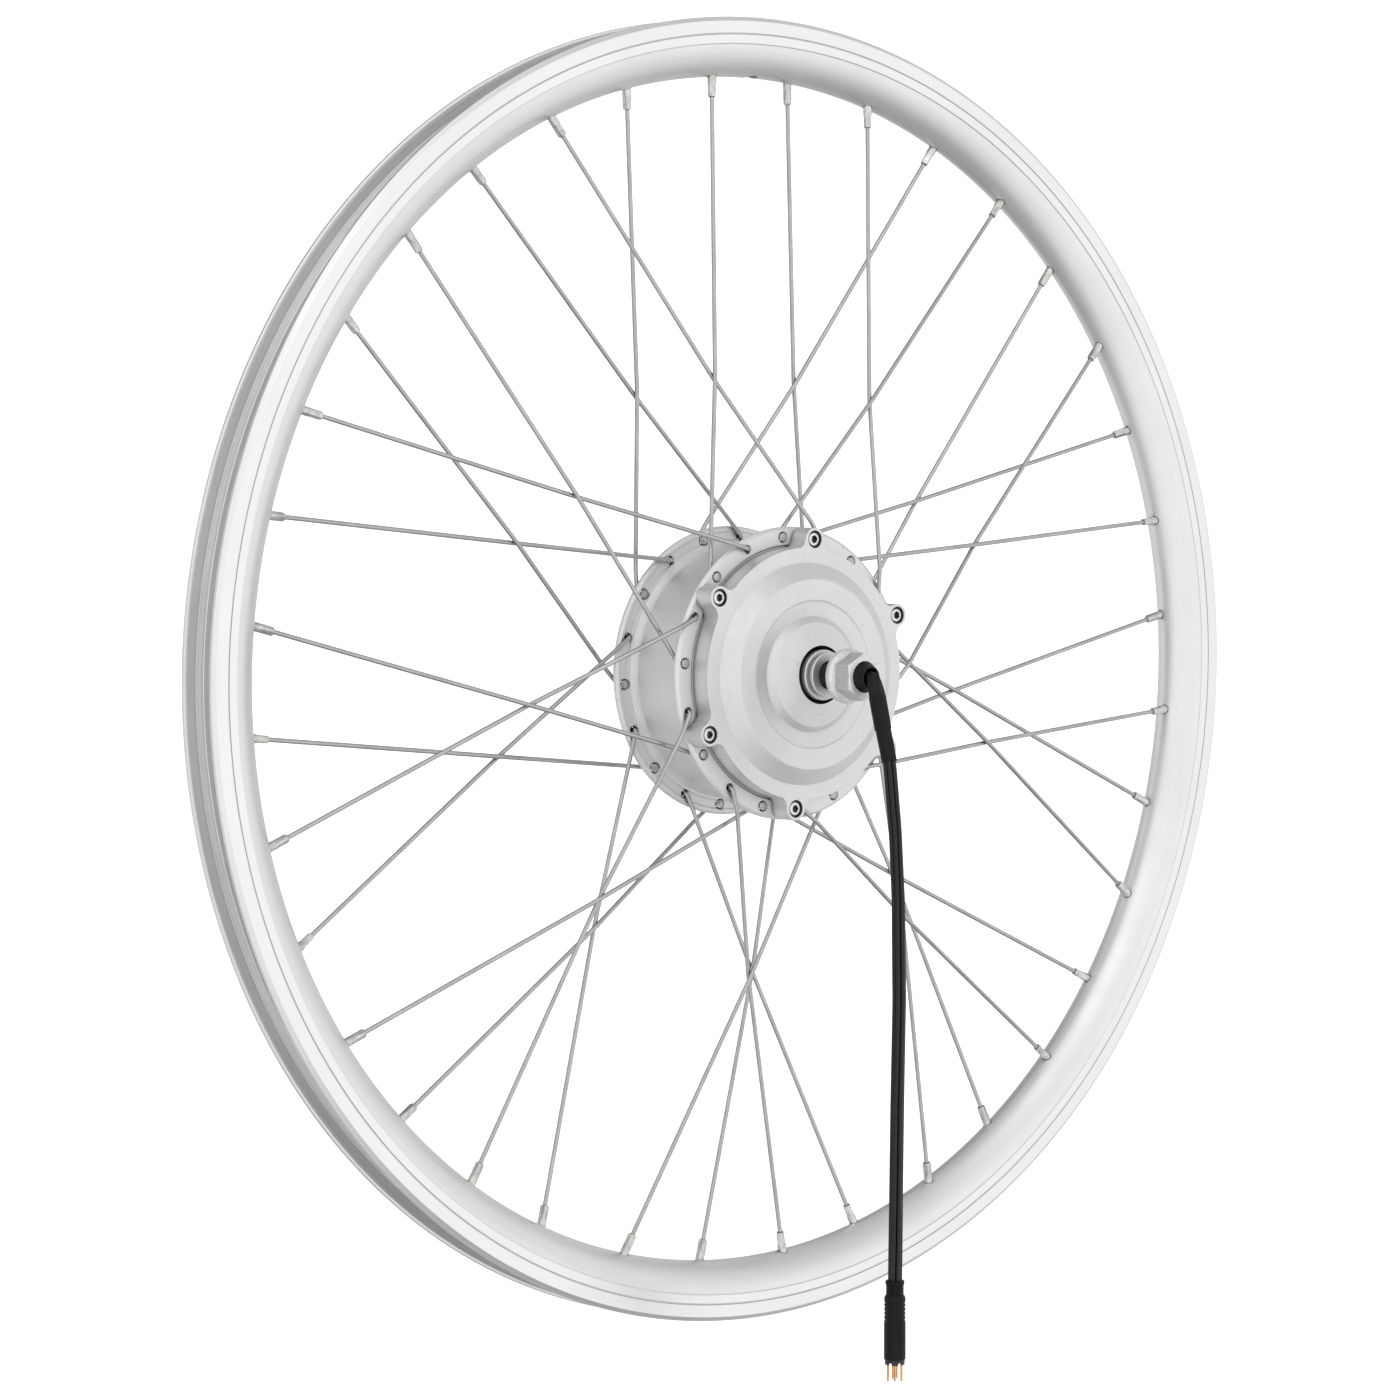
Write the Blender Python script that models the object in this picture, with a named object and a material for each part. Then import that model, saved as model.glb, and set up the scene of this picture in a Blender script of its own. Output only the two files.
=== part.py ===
"""Geared hub motor wheel for a 26 inch bicycle, built as separate named pieces.

Frame: the origin is on the axle's axis, midway between the two spoke flanges. The axle runs along Y.
The cable side, called the near side, is at -Y. Z is up, and the cable hangs down from the near axle end.
Sizes in this file are millimetres. new_object() turns them into metres once.
An angle around the wheel is measured from +X towards +Z.
"""
import math

import bmesh
import bpy
from mathutils import Matrix, Vector

MM = 0.001
GAP = 0.3                       # clearance left between two pieces that touch on the real wheel

# Rim
RIM_Y = 8.55                    # rim mid-plane, midway between the two dropout faces
RIM_R = 285.7
RIM_HALF_WIDTH = 12.5
BEAD_SEAT_R = 279.5             # 559 mm bead seat diameter
TRACK_INNER_R = 274.1
BED_R = 260.3                   # inner edge of the rim, at the spoke bed
RIM_STEPS = 48

# Spokes: 36, laced so that each crosses three others of its own flange
SPOKES_PER_FLANGE = 18
SPOKE_R = 1.0
SPOKE_HOLE_CIRCLE_R = 59.5
RIM_HOLE_PITCH = 10.0           # degrees between neighbouring rim holes
FLANGE_PITCH = 360.0 / SPOKES_PER_FLANGE
LACING_OFFSET = 40.0            # degrees a spoke gains between its flange hole and its rim hole
PAIR_OFFSET = 60.0              # degrees between the flange holes of two spokes that cross outermost
NEAR_FIRST_HOLE = 114.5
FAR_FIRST_HOLE = 124.5
RIM_FIRST_HOLE = 4.5
RIM_HOLE_STAGGER = 1.5          # rim holes sit this far to the side of the flange they serve
HEAD_R = 2.0                    # spoke head, which stands a little off its flange face
HEAD_OFFSET = 0.45
HEAD_HEIGHT = 1.2
FLANGE_EDGE_T = 0.055           # share of the spoke's length that runs alongside its flange
CROSSING_T = 0.3974             # share of the spoke's length at its outermost crossing
CROSSING_HALF_GAP = 0.8         # half the distance between the two spokes' centre lines there
NIPPLE_R = 2.0
NIPPLE_TIP_R = 250.6            # distance from the axle where the nipple ends and the spoke goes on
NIPPLE_SEAT_R = BED_R + 2.6     # distance from the axle where the nipple's head starts
NIPPLE_HEAD_R = 2.35
NIPPLE_HEAD_LENGTH = 2.2
NIPPLE_HOLE_R = NIPPLE_R + 1.7
NIPPLE_HOLE_END_R = 268.5       # inside the rim's hollow
VALVE_ANGLE = 89.5
VALVE_HOLE_R = 3.25

# Hub shell
FLANGE_INNER_Y = 19.55
FLANGE_OUTER_Y = 22.55
FLANGE_R = 64.0
BARREL_R = 54.5
SHELL_BORE_R = 51.5
SHELL_NEAR_END_Y = -29.9
HUB_STEPS = 36

# Side cover and its screws
COVER_RING_Y = -32.45
COVER_SEAT_Y = -30.2
SCREW_CIRCLE_R = 58.7
SCREW_COUNT = 6
SCREW_FIRST_ANGLE = 84.77
EAR_R = 5.2
EAR_STEP = 0.2                  # the ears stand this far below the cover's ring
BOSS_R = 4.9
SCREW_SHANK_R = 1.9
SCREW_HEAD_R = 3.6
SCREW_HEAD_HEIGHT = 2.4
SCREW_END_Y = -23.2

# Lip seals
SEAL_R = (10.4, 12.25)
NEAR_SEAL_Y = (-43.6, -39.1)
FAR_SEAL_Y = (38.0, 42.0)

# Axle line
THREAD_R = 6.0
THREAD_CHAMFER = 0.8
AXLE_BORE_R = 3.8
AXLE_NEAR_TIP_Y = -75.6
AXLE_NECK_R = 4.9               # plain end beyond the near thread
AXLE_NECK_Y = -73.6
AXLE_FAR_TIP_Y = 89.25
BEARING_SEAT_R = 7.5
SPACER_R = 10.07
NEAR_DROPOUT_Y = -48.75
FAR_DROPOUT_Y = 65.85
NUT_GAP = 10.2                  # bare thread left between a dropout face and its nut
NUT_ACROSS_FLATS = 18.0
NUT_FLANGE_R = 12.0
NUT_LENGTH = 12.5
NEAR_BEARING_Y = (-38.3, -31.3)
FAR_BEARING_Y = (30.2, 37.2)
BEARING_R = 14.0
INNER_RACE_R = 8.75
OUTER_RACE_R = 12.95
BALL_CIRCLE_R = 10.75
BALL_R = 1.9
BALL_COUNT = 7
CAGE_HALF = 0.7                 # half the side of the cage ring's square section

# Planetary gears
MODULE = 1.5
SUN_TEETH = 12
PLANET_TEETH = 21
RING_TEETH = 54
PLANET_COUNT = 3
TOOTH_WIDTH_SHARE = 0.84        # tooth thickness as a share of half the pitch, which leaves backlash
ADDENDUM = 0.8                  # in modules
DEDENDUM = 1.15                 # in modules
PRESSURE_ANGLE = math.radians(20)
GEAR_Y = (-27.0, -17.5)
PLANET_CIRCLE_R = MODULE * (SUN_TEETH + PLANET_TEETH) / 2
CARRIER_Y = (-30.5, -27.7)
PIN_R = 2.9
PLANET_BORE_R = 3.3
SUN_BORE_R = 5.85

# Motor
STATOR_Y = (-7.0, 16.0)
STATOR_R = 40.5
STATOR_BORE_R = 9.3
STATOR_SLOTS = 12
WINDING_R = (21.0, 36.6)
WINDING_Y = (-9.9, 20.0)
MAGNET_R = (41.2, 44.2)
ROTOR_CAN_R = (44.5, 48.6)
ROTOR_PLATE_Y = (-13.5, -10.5)
ROTOR_END_Y = 19.0
BUSH_R = 9.0
BOARD_R = (12.0, 36.0)
BOARD_Y = (20.4, 22.0)

# Cable and connector: the cable's centre line is in the plane x = 0
CABLE_R = 2.75
CABLE_MOUTH_R = 2.2             # the wires are bare, and closer together, down to the sleeve
SLEEVE_TOP_R, SLEEVE_BOTTOM_R = 4.1, 3.6
SLEEVE_TOP_Z, SLEEVE_BOTTOM_Z = -8.0, -36.0
CABLE_BENDS = [(-64.0, 0.3), (-76.8, 0.3), (-78.8, -5.5), (-83.3, -22.0), (-87.5, -36.5), (-91.0, -64.5),
               (-93.2, -95.0), (-93.9, -137.0), (-92.7, -180.0), (-92.1, -222.0), (-91.5, -256.0)]
PLUG_Y = -91.5
PLUG_TOP_Z = -256.6
PLUG_BOTTOM_Z = -293.0
PLUG_R = 4.65
PLUG_NECK_R = 4.1
PLUG_SOCKET_R = 3.95
PIN_BOTTOM_Z = -300.4
CONTACT_R = 0.45


# ---------------------------------------------------------------- materials

def material(name, colour, metallic, roughness):
    """A Principled BSDF material; asking again for the same name gives the same material."""
    found = bpy.data.materials.get(name)
    if found:
        return found
    made = bpy.data.materials.new(name)
    made.use_nodes = True
    shader = made.node_tree.nodes["Principled BSDF"]
    shader.inputs["Base Color"].default_value = (*colour, 1.0)
    shader.inputs["Metallic"].default_value = metallic
    shader.inputs["Roughness"].default_value = roughness
    return made


def rim_alloy():
    return material("rim_alloy", (0.80, 0.80, 0.80), 1.0, 0.35)


def hub_alloy():
    return material("hub_alloy", (0.68, 0.69, 0.70), 1.0, 0.40)


def stainless():
    return material("stainless", (0.72, 0.72, 0.73), 1.0, 0.22)


def zinc_plate():
    return material("zinc_plate", (0.60, 0.60, 0.58), 1.0, 0.42)


def black_steel():
    return material("black_steel", (0.03, 0.03, 0.03), 0.8, 0.45)


def bearing_steel():
    return material("bearing_steel", (0.62, 0.63, 0.65), 1.0, 0.18)


def gear_steel():
    return material("gear_steel", (0.38, 0.39, 0.41), 1.0, 0.35)


def gear_nylon():
    return material("gear_nylon", (0.86, 0.84, 0.76), 0.0, 0.50)


def lamination():
    return material("lamination", (0.22, 0.22, 0.24), 0.7, 0.55)


def copper():
    return material("copper", (0.72, 0.33, 0.16), 1.0, 0.35)


def magnet():
    return material("magnet", (0.30, 0.30, 0.31), 0.9, 0.30)


def seal_rubber():
    return material("seal_rubber", (0.02, 0.02, 0.02), 0.0, 0.70)


def cable_jacket():
    return material("cable_jacket", (0.015, 0.015, 0.016), 0.0, 0.45)


def plug_plastic():
    return material("plug_plastic", (0.03, 0.04, 0.06), 0.0, 0.35)


def gold_pin():
    return material("gold_pin", (0.80, 0.52, 0.22), 1.0, 0.25)


def board_green():
    return material("board_green", (0.04, 0.22, 0.10), 0.0, 0.45)


# ---------------------------------------------------------------- mesh tools

def new_object(name, bm, look, shown=True):
    """Turns a bmesh in millimetres into an object in metres."""
    bmesh.ops.recalc_face_normals(bm, faces=bm.faces)
    bmesh.ops.scale(bm, vec=(MM, MM, MM), verts=bm.verts)
    mesh = bpy.data.meshes.new(name)
    bm.to_mesh(mesh)
    bm.free()
    mesh.shade_smooth()
    mesh.set_sharp_from_angle(angle=math.radians(35))
    obj = bpy.data.objects.new(name, mesh)
    bpy.context.scene.collection.objects.link(obj)
    if look:
        mesh.materials.append(look)
    if not shown:
        obj.hide_render = True
        obj.display_type = "WIRE"
    return obj


def add_turned(bm, outline, steps, centre=Vector(), to_axis=Matrix(), first_angle=0.0):
    """Turns a closed outline of (radius, distance along the axis) points around the axis, into bm.

    The axis is Y unless to_axis, a rotation, says otherwise. A radius of 0 makes a pole.
    """
    rings = []
    for radius, along in outline:
        count = steps if radius > 0 else 1
        ring = []
        for i in range(count):
            angle = first_angle + 2 * math.pi * i / steps
            point = Vector((radius * math.cos(angle), along, radius * math.sin(angle)))
            ring.append(bm.verts.new(to_axis @ point + centre))
        rings.append(ring)
    for one, two in zip(rings, rings[1:] + rings[:1]):
        for i in range(steps):
            j = (i + 1) % steps
            corners = [one[i % len(one)], one[j % len(one)], two[j % len(two)], two[i % len(two)]]
            corners = list(dict.fromkeys(corners))
            if len(corners) > 2:
                bm.faces.new(corners)


def turned(name, outline, steps, look, shown=True, **place):
    bm = bmesh.new()
    add_turned(bm, outline, steps, **place)
    return new_object(name, bm, look, shown)


def tube_outline(inner, outer, low, high):
    """The outline of a plain ring between two radii and two places along the axis."""
    return [(outer, low), (outer, high), (inner, high), (inner, low)]


def add_prism(bm, outline, low, high):
    """Extrudes a closed outline of (x, z) points along Y from low to high."""
    bottom = [bm.verts.new((x, low, z)) for x, z in outline]
    face = bm.faces.new(bottom)
    made = bmesh.ops.extrude_face_region(bm, geom=[face])
    top = [item for item in made["geom"] if isinstance(item, bmesh.types.BMVert)]
    bmesh.ops.translate(bm, verts=top, vec=(0, high - low, 0))


def prism(name, outline, low, high, look, shown=True):
    bm = bmesh.new()
    add_prism(bm, outline, low, high)
    return new_object(name, bm, look, shown)


def polygon(radius, sides, first_angle=0.0, centre=(0.0, 0.0)):
    return [(centre[0] + radius * math.cos(first_angle + 2 * math.pi * i / sides),
             centre[1] + radius * math.sin(first_angle + 2 * math.pi * i / sides)) for i in range(sides)]


def add_bar(bm, start, end, radius, sides):
    """A straight bar with flat ends between two points."""
    add_sweep(bm, [start, end], [radius, radius], sides)


def add_sweep(bm, points, radii, sides, closed_ends=True):
    """A round bar along the points, with its own radius at each; returns its rings of vertices.

    Two points in the same place with different radii make a step.
    """
    points = [Vector(p) for p in points]
    steps = [b - a for a, b in zip(points, points[1:])]
    rings = []
    side = None
    for i, (point, radius) in enumerate(zip(points, radii)):
        before = next((s for s in reversed(steps[:i]) if s.length > 1e-6), None)
        after = next((s for s in steps[i:] if s.length > 1e-6), None)
        along = ((before or after).normalized() + (after or before).normalized()).normalized()
        if side is None:
            side = along.orthogonal().normalized()
        side = (side - along * side.dot(along)).normalized()
        other = along.cross(side)
        ring = []
        for k in range(sides):
            angle = 2 * math.pi * k / sides
            ring.append(bm.verts.new(point + radius * (math.cos(angle) * side + math.sin(angle) * other)))
        rings.append(ring)
    for one, two in zip(rings, rings[1:]):
        for k in range(sides):
            bm.faces.new([one[k], one[(k + 1) % sides], two[(k + 1) % sides], two[k]])
    if closed_ends:
        bm.faces.new(rings[0])
        bm.faces.new(rings[-1])
    return rings


def combine(target, helper, operation):
    """Adds a Boolean of a hidden helper to the target."""
    modifier = target.modifiers.new(helper.name, "BOOLEAN")
    modifier.operation = operation
    modifier.object = helper


def cut(target, helper):
    combine(target, helper, "DIFFERENCE")


def finished_mesh(obj):
    """The object's mesh with its modifiers worked in."""
    graph = bpy.context.evaluated_depsgraph_get()
    return bpy.data.meshes.new_from_object(obj.evaluated_get(graph))


def polar(radius, degrees, y):
    angle = math.radians(degrees)
    return Vector((radius * math.cos(angle), y, radius * math.sin(angle)))


# ---------------------------------------------------------------- rim

def mirrored(half):
    """Completes a rim outline of (radius, offset from the mid-plane) points with its mirror image."""
    return [(r, RIM_Y + w) for r, w in half] + [(r, RIM_Y - w) for r, w in reversed(half) if w > 0]


def make_rim():
    """Double-wall rim: two hooked lips, flat brake tracks and a rounded spoke bed, hollow inside."""
    outside = mirrored([
        (BED_R, 0.0), (262.2, 5.4), (266.4, 9.2), (TRACK_INNER_R, RIM_HALF_WIDTH),
        (284.2, RIM_HALF_WIDTH), (RIM_R, 11.15), (RIM_R, 9.9), (BEAD_SEAT_R, 10.6), (274.6, 6.4)])
    hollow = mirrored([(272.9, 6.8), (274.4, 10.9), (267.4, 8.2), (262.2, 0.0)])
    rim = turned("rim", outside, RIM_STEPS, rim_alloy())
    cut(rim, turned("rim_hollow_cutter", hollow, RIM_STEPS, None, shown=False))
    holes = bmesh.new()
    for index in range(2 * SPOKES_PER_FLANGE):
        degrees = RIM_FIRST_HOLE + RIM_HOLE_PITCH * index
        side = rim_hole_side(index)
        start = polar(BED_R - 3.0, degrees, RIM_Y + side * RIM_HOLE_STAGGER)
        end = polar(NIPPLE_HOLE_END_R, degrees, RIM_Y + side * RIM_HOLE_STAGGER)
        add_bar(holes, start, end, NIPPLE_HOLE_R, 4)
    valve_start = polar(BED_R - 3.0, VALVE_ANGLE, RIM_Y)
    valve_end = polar(BEAD_SEAT_R, VALVE_ANGLE, RIM_Y)
    add_bar(holes, valve_start, valve_end, VALVE_HOLE_R, 8)
    cut(rim, new_object("rim_holes_cutter", holes, None, shown=False))
    return rim


def rim_hole_side(index):
    """-1 for a rim hole that serves the near flange, +1 for the far flange.

    Near spokes end at 34.5 + 40 n and 14.5 + 40 n degrees, far spokes at the holes between.
    """
    return -1 if index % 2 else 1


# ---------------------------------------------------------------- spokes

def spoke_path(flange, outer, start_degrees, gain):
    """Points and radii of one spoke with its nipple.

    flange is -1 or +1, the side of the hub. outer is True where the elbow is on the flange's outer face,
    and False where it's on the inner face. gain is +1 or -1, the way the spoke leans round the wheel.
    """
    face_out, face_in = flange * FLANGE_OUTER_Y, flange * FLANGE_INNER_Y
    clear = SPOKE_R + GAP
    if outer:
        head_y, elbow_y = face_in - flange * HEAD_OFFSET, face_out + flange * clear
        head_end_y = head_y - flange * HEAD_HEIGHT
    else:
        head_y, elbow_y = face_out + flange * HEAD_OFFSET, face_in - flange * clear
        head_end_y = head_y + flange * HEAD_HEIGHT
    end_degrees = start_degrees + gain * LACING_OFFSET
    seat = polar(NIPPLE_SEAT_R, end_degrees, RIM_Y + flange * RIM_HOLE_STAGGER)
    elbow = polar(SPOKE_HOLE_CIRCLE_R, start_degrees, elbow_y)
    line = seat - elbow
    edge = elbow + line * FLANGE_EDGE_T
    edge.y = elbow_y
    crossing = elbow + line * CROSSING_T
    mean_y = crossing_height(flange)
    # The two spokes swap sides at their outermost crossing.
    crossing.y = mean_y - flange * CROSSING_HALF_GAP if outer else mean_y + flange * CROSSING_HALF_GAP
    tail = seat - crossing
    crossing_r, seat_r = math.hypot(crossing.x, crossing.z), math.hypot(seat.x, seat.z)
    tip = crossing + tail * ((NIPPLE_TIP_R - crossing_r) / (seat_r - crossing_r))
    nipple_end = seat + tail.normalized() * NIPPLE_HEAD_LENGTH
    points = [polar(SPOKE_HOLE_CIRCLE_R, start_degrees, head_end_y),
              polar(SPOKE_HOLE_CIRCLE_R, start_degrees, head_y),
              elbow]
    radii = [HEAD_R, SPOKE_R, SPOKE_R]
    if outer:
        points.append(edge)
        radii.append(SPOKE_R)
    points += [crossing, tip, tip, seat, nipple_end]
    radii += [SPOKE_R, SPOKE_R, NIPPLE_R, NIPPLE_R, NIPPLE_HEAD_R]
    return points, radii


def crossing_height(flange):
    """The Y where the two spokes of one flange pass at their outermost crossing."""
    middle = flange * (FLANGE_INNER_Y + FLANGE_OUTER_Y) / 2
    return middle + (RIM_Y + flange * RIM_HOLE_STAGGER - middle) * CROSSING_T


def make_spokes():
    """Eighteen crossing pairs. The two spokes of a pair bear on each other, so a pair is one solid."""
    for side, flange, first in (("near", -1, NEAR_FIRST_HOLE), ("far", 1, FAR_FIRST_HOLE)):
        # Leading spokes have their elbows outside on the near flange and inside on the far flange.
        leading_outer = flange < 0
        bm = bmesh.new()
        add_sweep(bm, *spoke_path(flange, leading_outer, first, +1), 5)
        leading = new_object(side + "_leading_helper", bm, stainless(), shown=False)
        bm = bmesh.new()
        add_sweep(bm, *spoke_path(flange, not leading_outer, first + PAIR_OFFSET, -1), 5)
        trailing = new_object(side + "_trailing_helper", bm, stainless(), shown=False)
        combine(leading, trailing, "UNION")
        bpy.context.view_layer.update()
        pair_mesh = finished_mesh(leading)
        pair_mesh.name = side + "_spoke_pair"
        for helper in (leading, trailing):
            bpy.data.objects.remove(helper)
        for number in range(SPOKES_PER_FLANGE // 2):
            obj = bpy.data.objects.new(f"{side}_spoke_pair_{number + 1}", pair_mesh)
            obj.rotation_euler.y = -math.radians(2 * FLANGE_PITCH * number)
            bpy.context.scene.collection.objects.link(obj)


# ---------------------------------------------------------------- hub shell and cover

def screw_places():
    return [polar(SCREW_CIRCLE_R, SCREW_FIRST_ANGLE + 360 / SCREW_COUNT * i, 0) for i in range(SCREW_COUNT)]


def make_hub_shell():
    """One casting: near collar with six screw bosses, two spoke flanges, barrel and domed far wall."""
    outline = [
        (55.0, SHELL_NEAR_END_Y), (55.0, -FLANGE_OUTER_Y), (FLANGE_R, -FLANGE_OUTER_Y),
        (FLANGE_R, -FLANGE_INNER_Y), (BARREL_R, -FLANGE_INNER_Y), (BARREL_R, FLANGE_INNER_Y),
        (FLANGE_R, FLANGE_INNER_Y), (FLANGE_R, FLANGE_OUTER_Y), (56.0, FLANGE_OUTER_Y), (52.5, 28.2),
        (46.0, 31.6), (25.5, 33.4), (23.3, 38.8), (12.6, 41.6), (12.6, 37.6), (14.3, 37.6),
        (14.3, 28.6), (47.5, 28.6), (SHELL_BORE_R, 24.6), (SHELL_BORE_R, SHELL_NEAR_END_Y)]
    shell = turned("hub_shell", outline, HUB_STEPS, hub_alloy())
    bosses = bmesh.new()
    threads = bmesh.new()
    for place in screw_places():
        centre = (place.x, place.z)
        add_prism(bosses, polygon(BOSS_R, 10, centre=centre), SHELL_NEAR_END_Y, -FLANGE_OUTER_Y + 1.0)
        hole = polygon(SCREW_SHANK_R + 0.5, 6, centre=centre)
        add_prism(threads, hole, SHELL_NEAR_END_Y - 1, -FLANGE_OUTER_Y + 0.4)
    combine(shell, new_object("shell_boss_helper", bosses, None, shown=False), "UNION")
    cut(shell, new_object("shell_thread_cutter", threads, None, shown=False))
    holes = bmesh.new()
    for flange, first in ((-1, NEAR_FIRST_HOLE), (1, FAR_FIRST_HOLE)):
        for index in range(SPOKES_PER_FLANGE):
            place = polar(SPOKE_HOLE_CIRCLE_R, first + FLANGE_PITCH * index, 0)
            low, high = sorted((flange * (FLANGE_INNER_Y - 1.0), flange * (FLANGE_OUTER_Y + 1.0)))
            add_prism(holes, polygon(1.75, 4, centre=(place.x, place.z)), low, high)
    cut(shell, new_object("spoke_hole_cutter", holes, None, shown=False))
    return shell


def make_side_cover():
    """Turned cover with a raised shoulder, a recessed groove and a conical boss around the axle."""
    outline = [
        (12.6, -43.2), (23.1, -38.95), (25.2, -36.3), (32.3, -38.3), (41.5, -37.95), (47.5, -32.95),
        (54.5, COVER_RING_Y), (54.5, COVER_SEAT_Y), (51.1, COVER_SEAT_Y), (51.1, -27.3), (48.9, -27.3),
        (40.3, -34.4), (26.0, -33.2), (17.6, -31.0), (14.3, -31.0), (14.3, -38.7), (12.6, -38.7)]
    cover = turned("side_cover", outline, HUB_STEPS, hub_alloy())
    ears = bmesh.new()
    holes = bmesh.new()
    for place in screw_places():
        centre = (place.x, place.z)
        add_prism(ears, polygon(EAR_R, 10, centre=centre), COVER_RING_Y + EAR_STEP, COVER_SEAT_Y)
        add_prism(holes, polygon(SCREW_SHANK_R + 0.6, 6, centre=centre), COVER_RING_Y - 1, COVER_SEAT_Y + 1)
    combine(cover, new_object("cover_ear_helper", ears, None, shown=False), "UNION")
    cut(cover, new_object("cover_hole_cutter", holes, None, shown=False))
    return cover


def make_cover_screws():
    """Six button-head screws through the cover's ears into the shell's bosses."""
    seat = COVER_RING_Y + EAR_STEP - GAP
    top = seat - SCREW_HEAD_HEIGHT
    outline = [(0, top), (1.9, top), (SCREW_HEAD_R, seat - 0.9), (SCREW_HEAD_R, seat),
               (SCREW_SHANK_R, seat), (SCREW_SHANK_R, SCREW_END_Y), (0, SCREW_END_Y)]
    for number, place in enumerate(screw_places()):
        turned(f"cover_screw_{number + 1}", outline, 8, black_steel(), centre=place)


def make_seals():
    """Lip seals between the spacers and the openings in the cover and the shell."""
    turned("near_seal", tube_outline(*SEAL_R, *NEAR_SEAL_Y), 24, seal_rubber())
    turned("far_seal", tube_outline(*SEAL_R, *FAR_SEAL_Y), 24, seal_rubber())


# ---------------------------------------------------------------- axle line

def make_axle():
    """Stepped axle, hollow at the near end for the cable."""
    low, high = NEAR_BEARING_Y[0] - GAP, FAR_BEARING_Y[1] + GAP
    tip_r = THREAD_R - THREAD_CHAMFER
    outline = [
        (AXLE_NECK_R, AXLE_NEAR_TIP_Y), (AXLE_NECK_R, AXLE_NECK_Y),
        (THREAD_R, AXLE_NECK_Y + 1.0), (THREAD_R, low),
        (BEARING_SEAT_R, low), (BEARING_SEAT_R, NEAR_BEARING_Y[1] + GAP), (8.0, NEAR_BEARING_Y[1] + GAP),
        (8.0, -27.6), (5.5, -27.6), (5.5, -8.0), (9.0, -8.0), (9.0, STATOR_Y[1] + 1), (8.5, STATOR_Y[1] + 1),
        (8.5, FAR_BEARING_Y[0] - GAP), (BEARING_SEAT_R, FAR_BEARING_Y[0] - GAP), (BEARING_SEAT_R, high),
        (THREAD_R, high), (THREAD_R, AXLE_FAR_TIP_Y - THREAD_CHAMFER), (tip_r, AXLE_FAR_TIP_Y),
        (0, AXLE_FAR_TIP_Y), (0, -10.0), (3.0, -10.0), (3.0, -30.0), (AXLE_BORE_R, -33.0),
        (AXLE_BORE_R, AXLE_NEAR_TIP_Y)]
    return turned("axle", outline, 16, black_steel())


def make_nuts():
    """Two alike flanged hexagon nuts, each turned on to its own end of the axle."""
    hex_r = NUT_ACROSS_FLATS / math.sqrt(3)
    nut = prism("near_nut", polygon(hex_r, 6, first_angle=math.radians(30)), -NUT_LENGTH, -2.4, zinc_plate())
    flange = [(NUT_FLANGE_R, 0), (NUT_FLANGE_R, -1.8), (9.6, -3.2), (0, -3.2), (0, 0)]
    combine(nut, turned("nut_flange_helper", flange, 18, None, shown=False), "UNION")
    cut(nut, prism("nut_bore_cutter", polygon(THREAD_R + GAP, 16), -NUT_LENGTH - 1, 1, None, shown=False))
    bpy.context.view_layer.update()
    nut_mesh = finished_mesh(nut)
    nut.modifiers.clear()
    nut.data = nut_mesh
    nut.location.y = (NEAR_DROPOUT_Y - NUT_GAP) * MM
    far_nut = bpy.data.objects.new("far_nut", nut_mesh)
    bpy.context.scene.collection.objects.link(far_nut)
    far_nut.location.y = (FAR_DROPOUT_Y + NUT_GAP) * MM
    far_nut.rotation_euler.z = math.pi


def make_spacers():
    """Steel spacers that carry the dropout faces, each against its bearing's inner ring."""
    near = tube_outline(THREAD_R + GAP, SPACER_R, NEAR_DROPOUT_Y, NEAR_BEARING_Y[0] - GAP)
    far = tube_outline(THREAD_R + GAP, SPACER_R, FAR_BEARING_Y[1] + GAP, FAR_DROPOUT_Y)
    turned("near_spacer", near, 24, bearing_steel())
    turned("far_spacer", far, 24, bearing_steel())


def make_bearing(side, low, high):
    """Deep-groove ball bearing in three pieces: inner ring, outer ring, and balls held by their cage."""
    inner = tube_outline(BEARING_SEAT_R + 0.12, INNER_RACE_R, low, high)
    turned(side + "_bearing_inner", inner, 24, bearing_steel())
    turned(side + "_bearing_outer", tube_outline(OUTER_RACE_R, BEARING_R, low, high), 24, bearing_steel())
    middle = (low + high) / 2
    ring = tube_outline(BALL_CIRCLE_R - CAGE_HALF, BALL_CIRCLE_R + CAGE_HALF,
                        middle - CAGE_HALF, middle + CAGE_HALF)
    cage = turned(side + "_ball_cage", ring, 14, bearing_steel())
    balls = bmesh.new()
    for index in range(BALL_COUNT):
        place = Matrix.Translation(polar(BALL_CIRCLE_R, 360 / BALL_COUNT * index, middle))
        bmesh.ops.create_uvsphere(balls, u_segments=6, v_segments=4, radius=BALL_R, matrix=place)
    combine(cage, new_object(side + "_ball_helper", balls, None, shown=False), "UNION")


# ---------------------------------------------------------------- planetary gears

def tooth_row(teeth, tip_r, root_r, tip_half, root_half, first_angle):
    """Outline of straight-sided teeth; the halves are half the tooth's angle at its tip and at its root."""
    outline = []
    corners = ((root_r, -root_half), (tip_r, -tip_half), (tip_r, tip_half), (root_r, root_half))
    for tooth in range(teeth):
        centre = first_angle + 2 * math.pi * tooth / teeth
        outline += [(r * math.cos(centre + half), r * math.sin(centre + half)) for r, half in corners]
    return outline


def external_gear(teeth, first_angle):
    pitch_r = MODULE * teeth / 2
    width = math.pi * MODULE / 2 * TOOTH_WIDTH_SHARE
    lean = math.tan(PRESSURE_ANGLE) * MODULE
    tip_r, root_r = pitch_r + ADDENDUM * MODULE, pitch_r - DEDENDUM * MODULE
    tip_half = (width / 2 - ADDENDUM * lean) / tip_r
    root_half = (width / 2 + 0.3 * DEDENDUM * lean) / root_r
    return tooth_row(teeth, tip_r, root_r, tip_half, root_half, first_angle)


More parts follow.
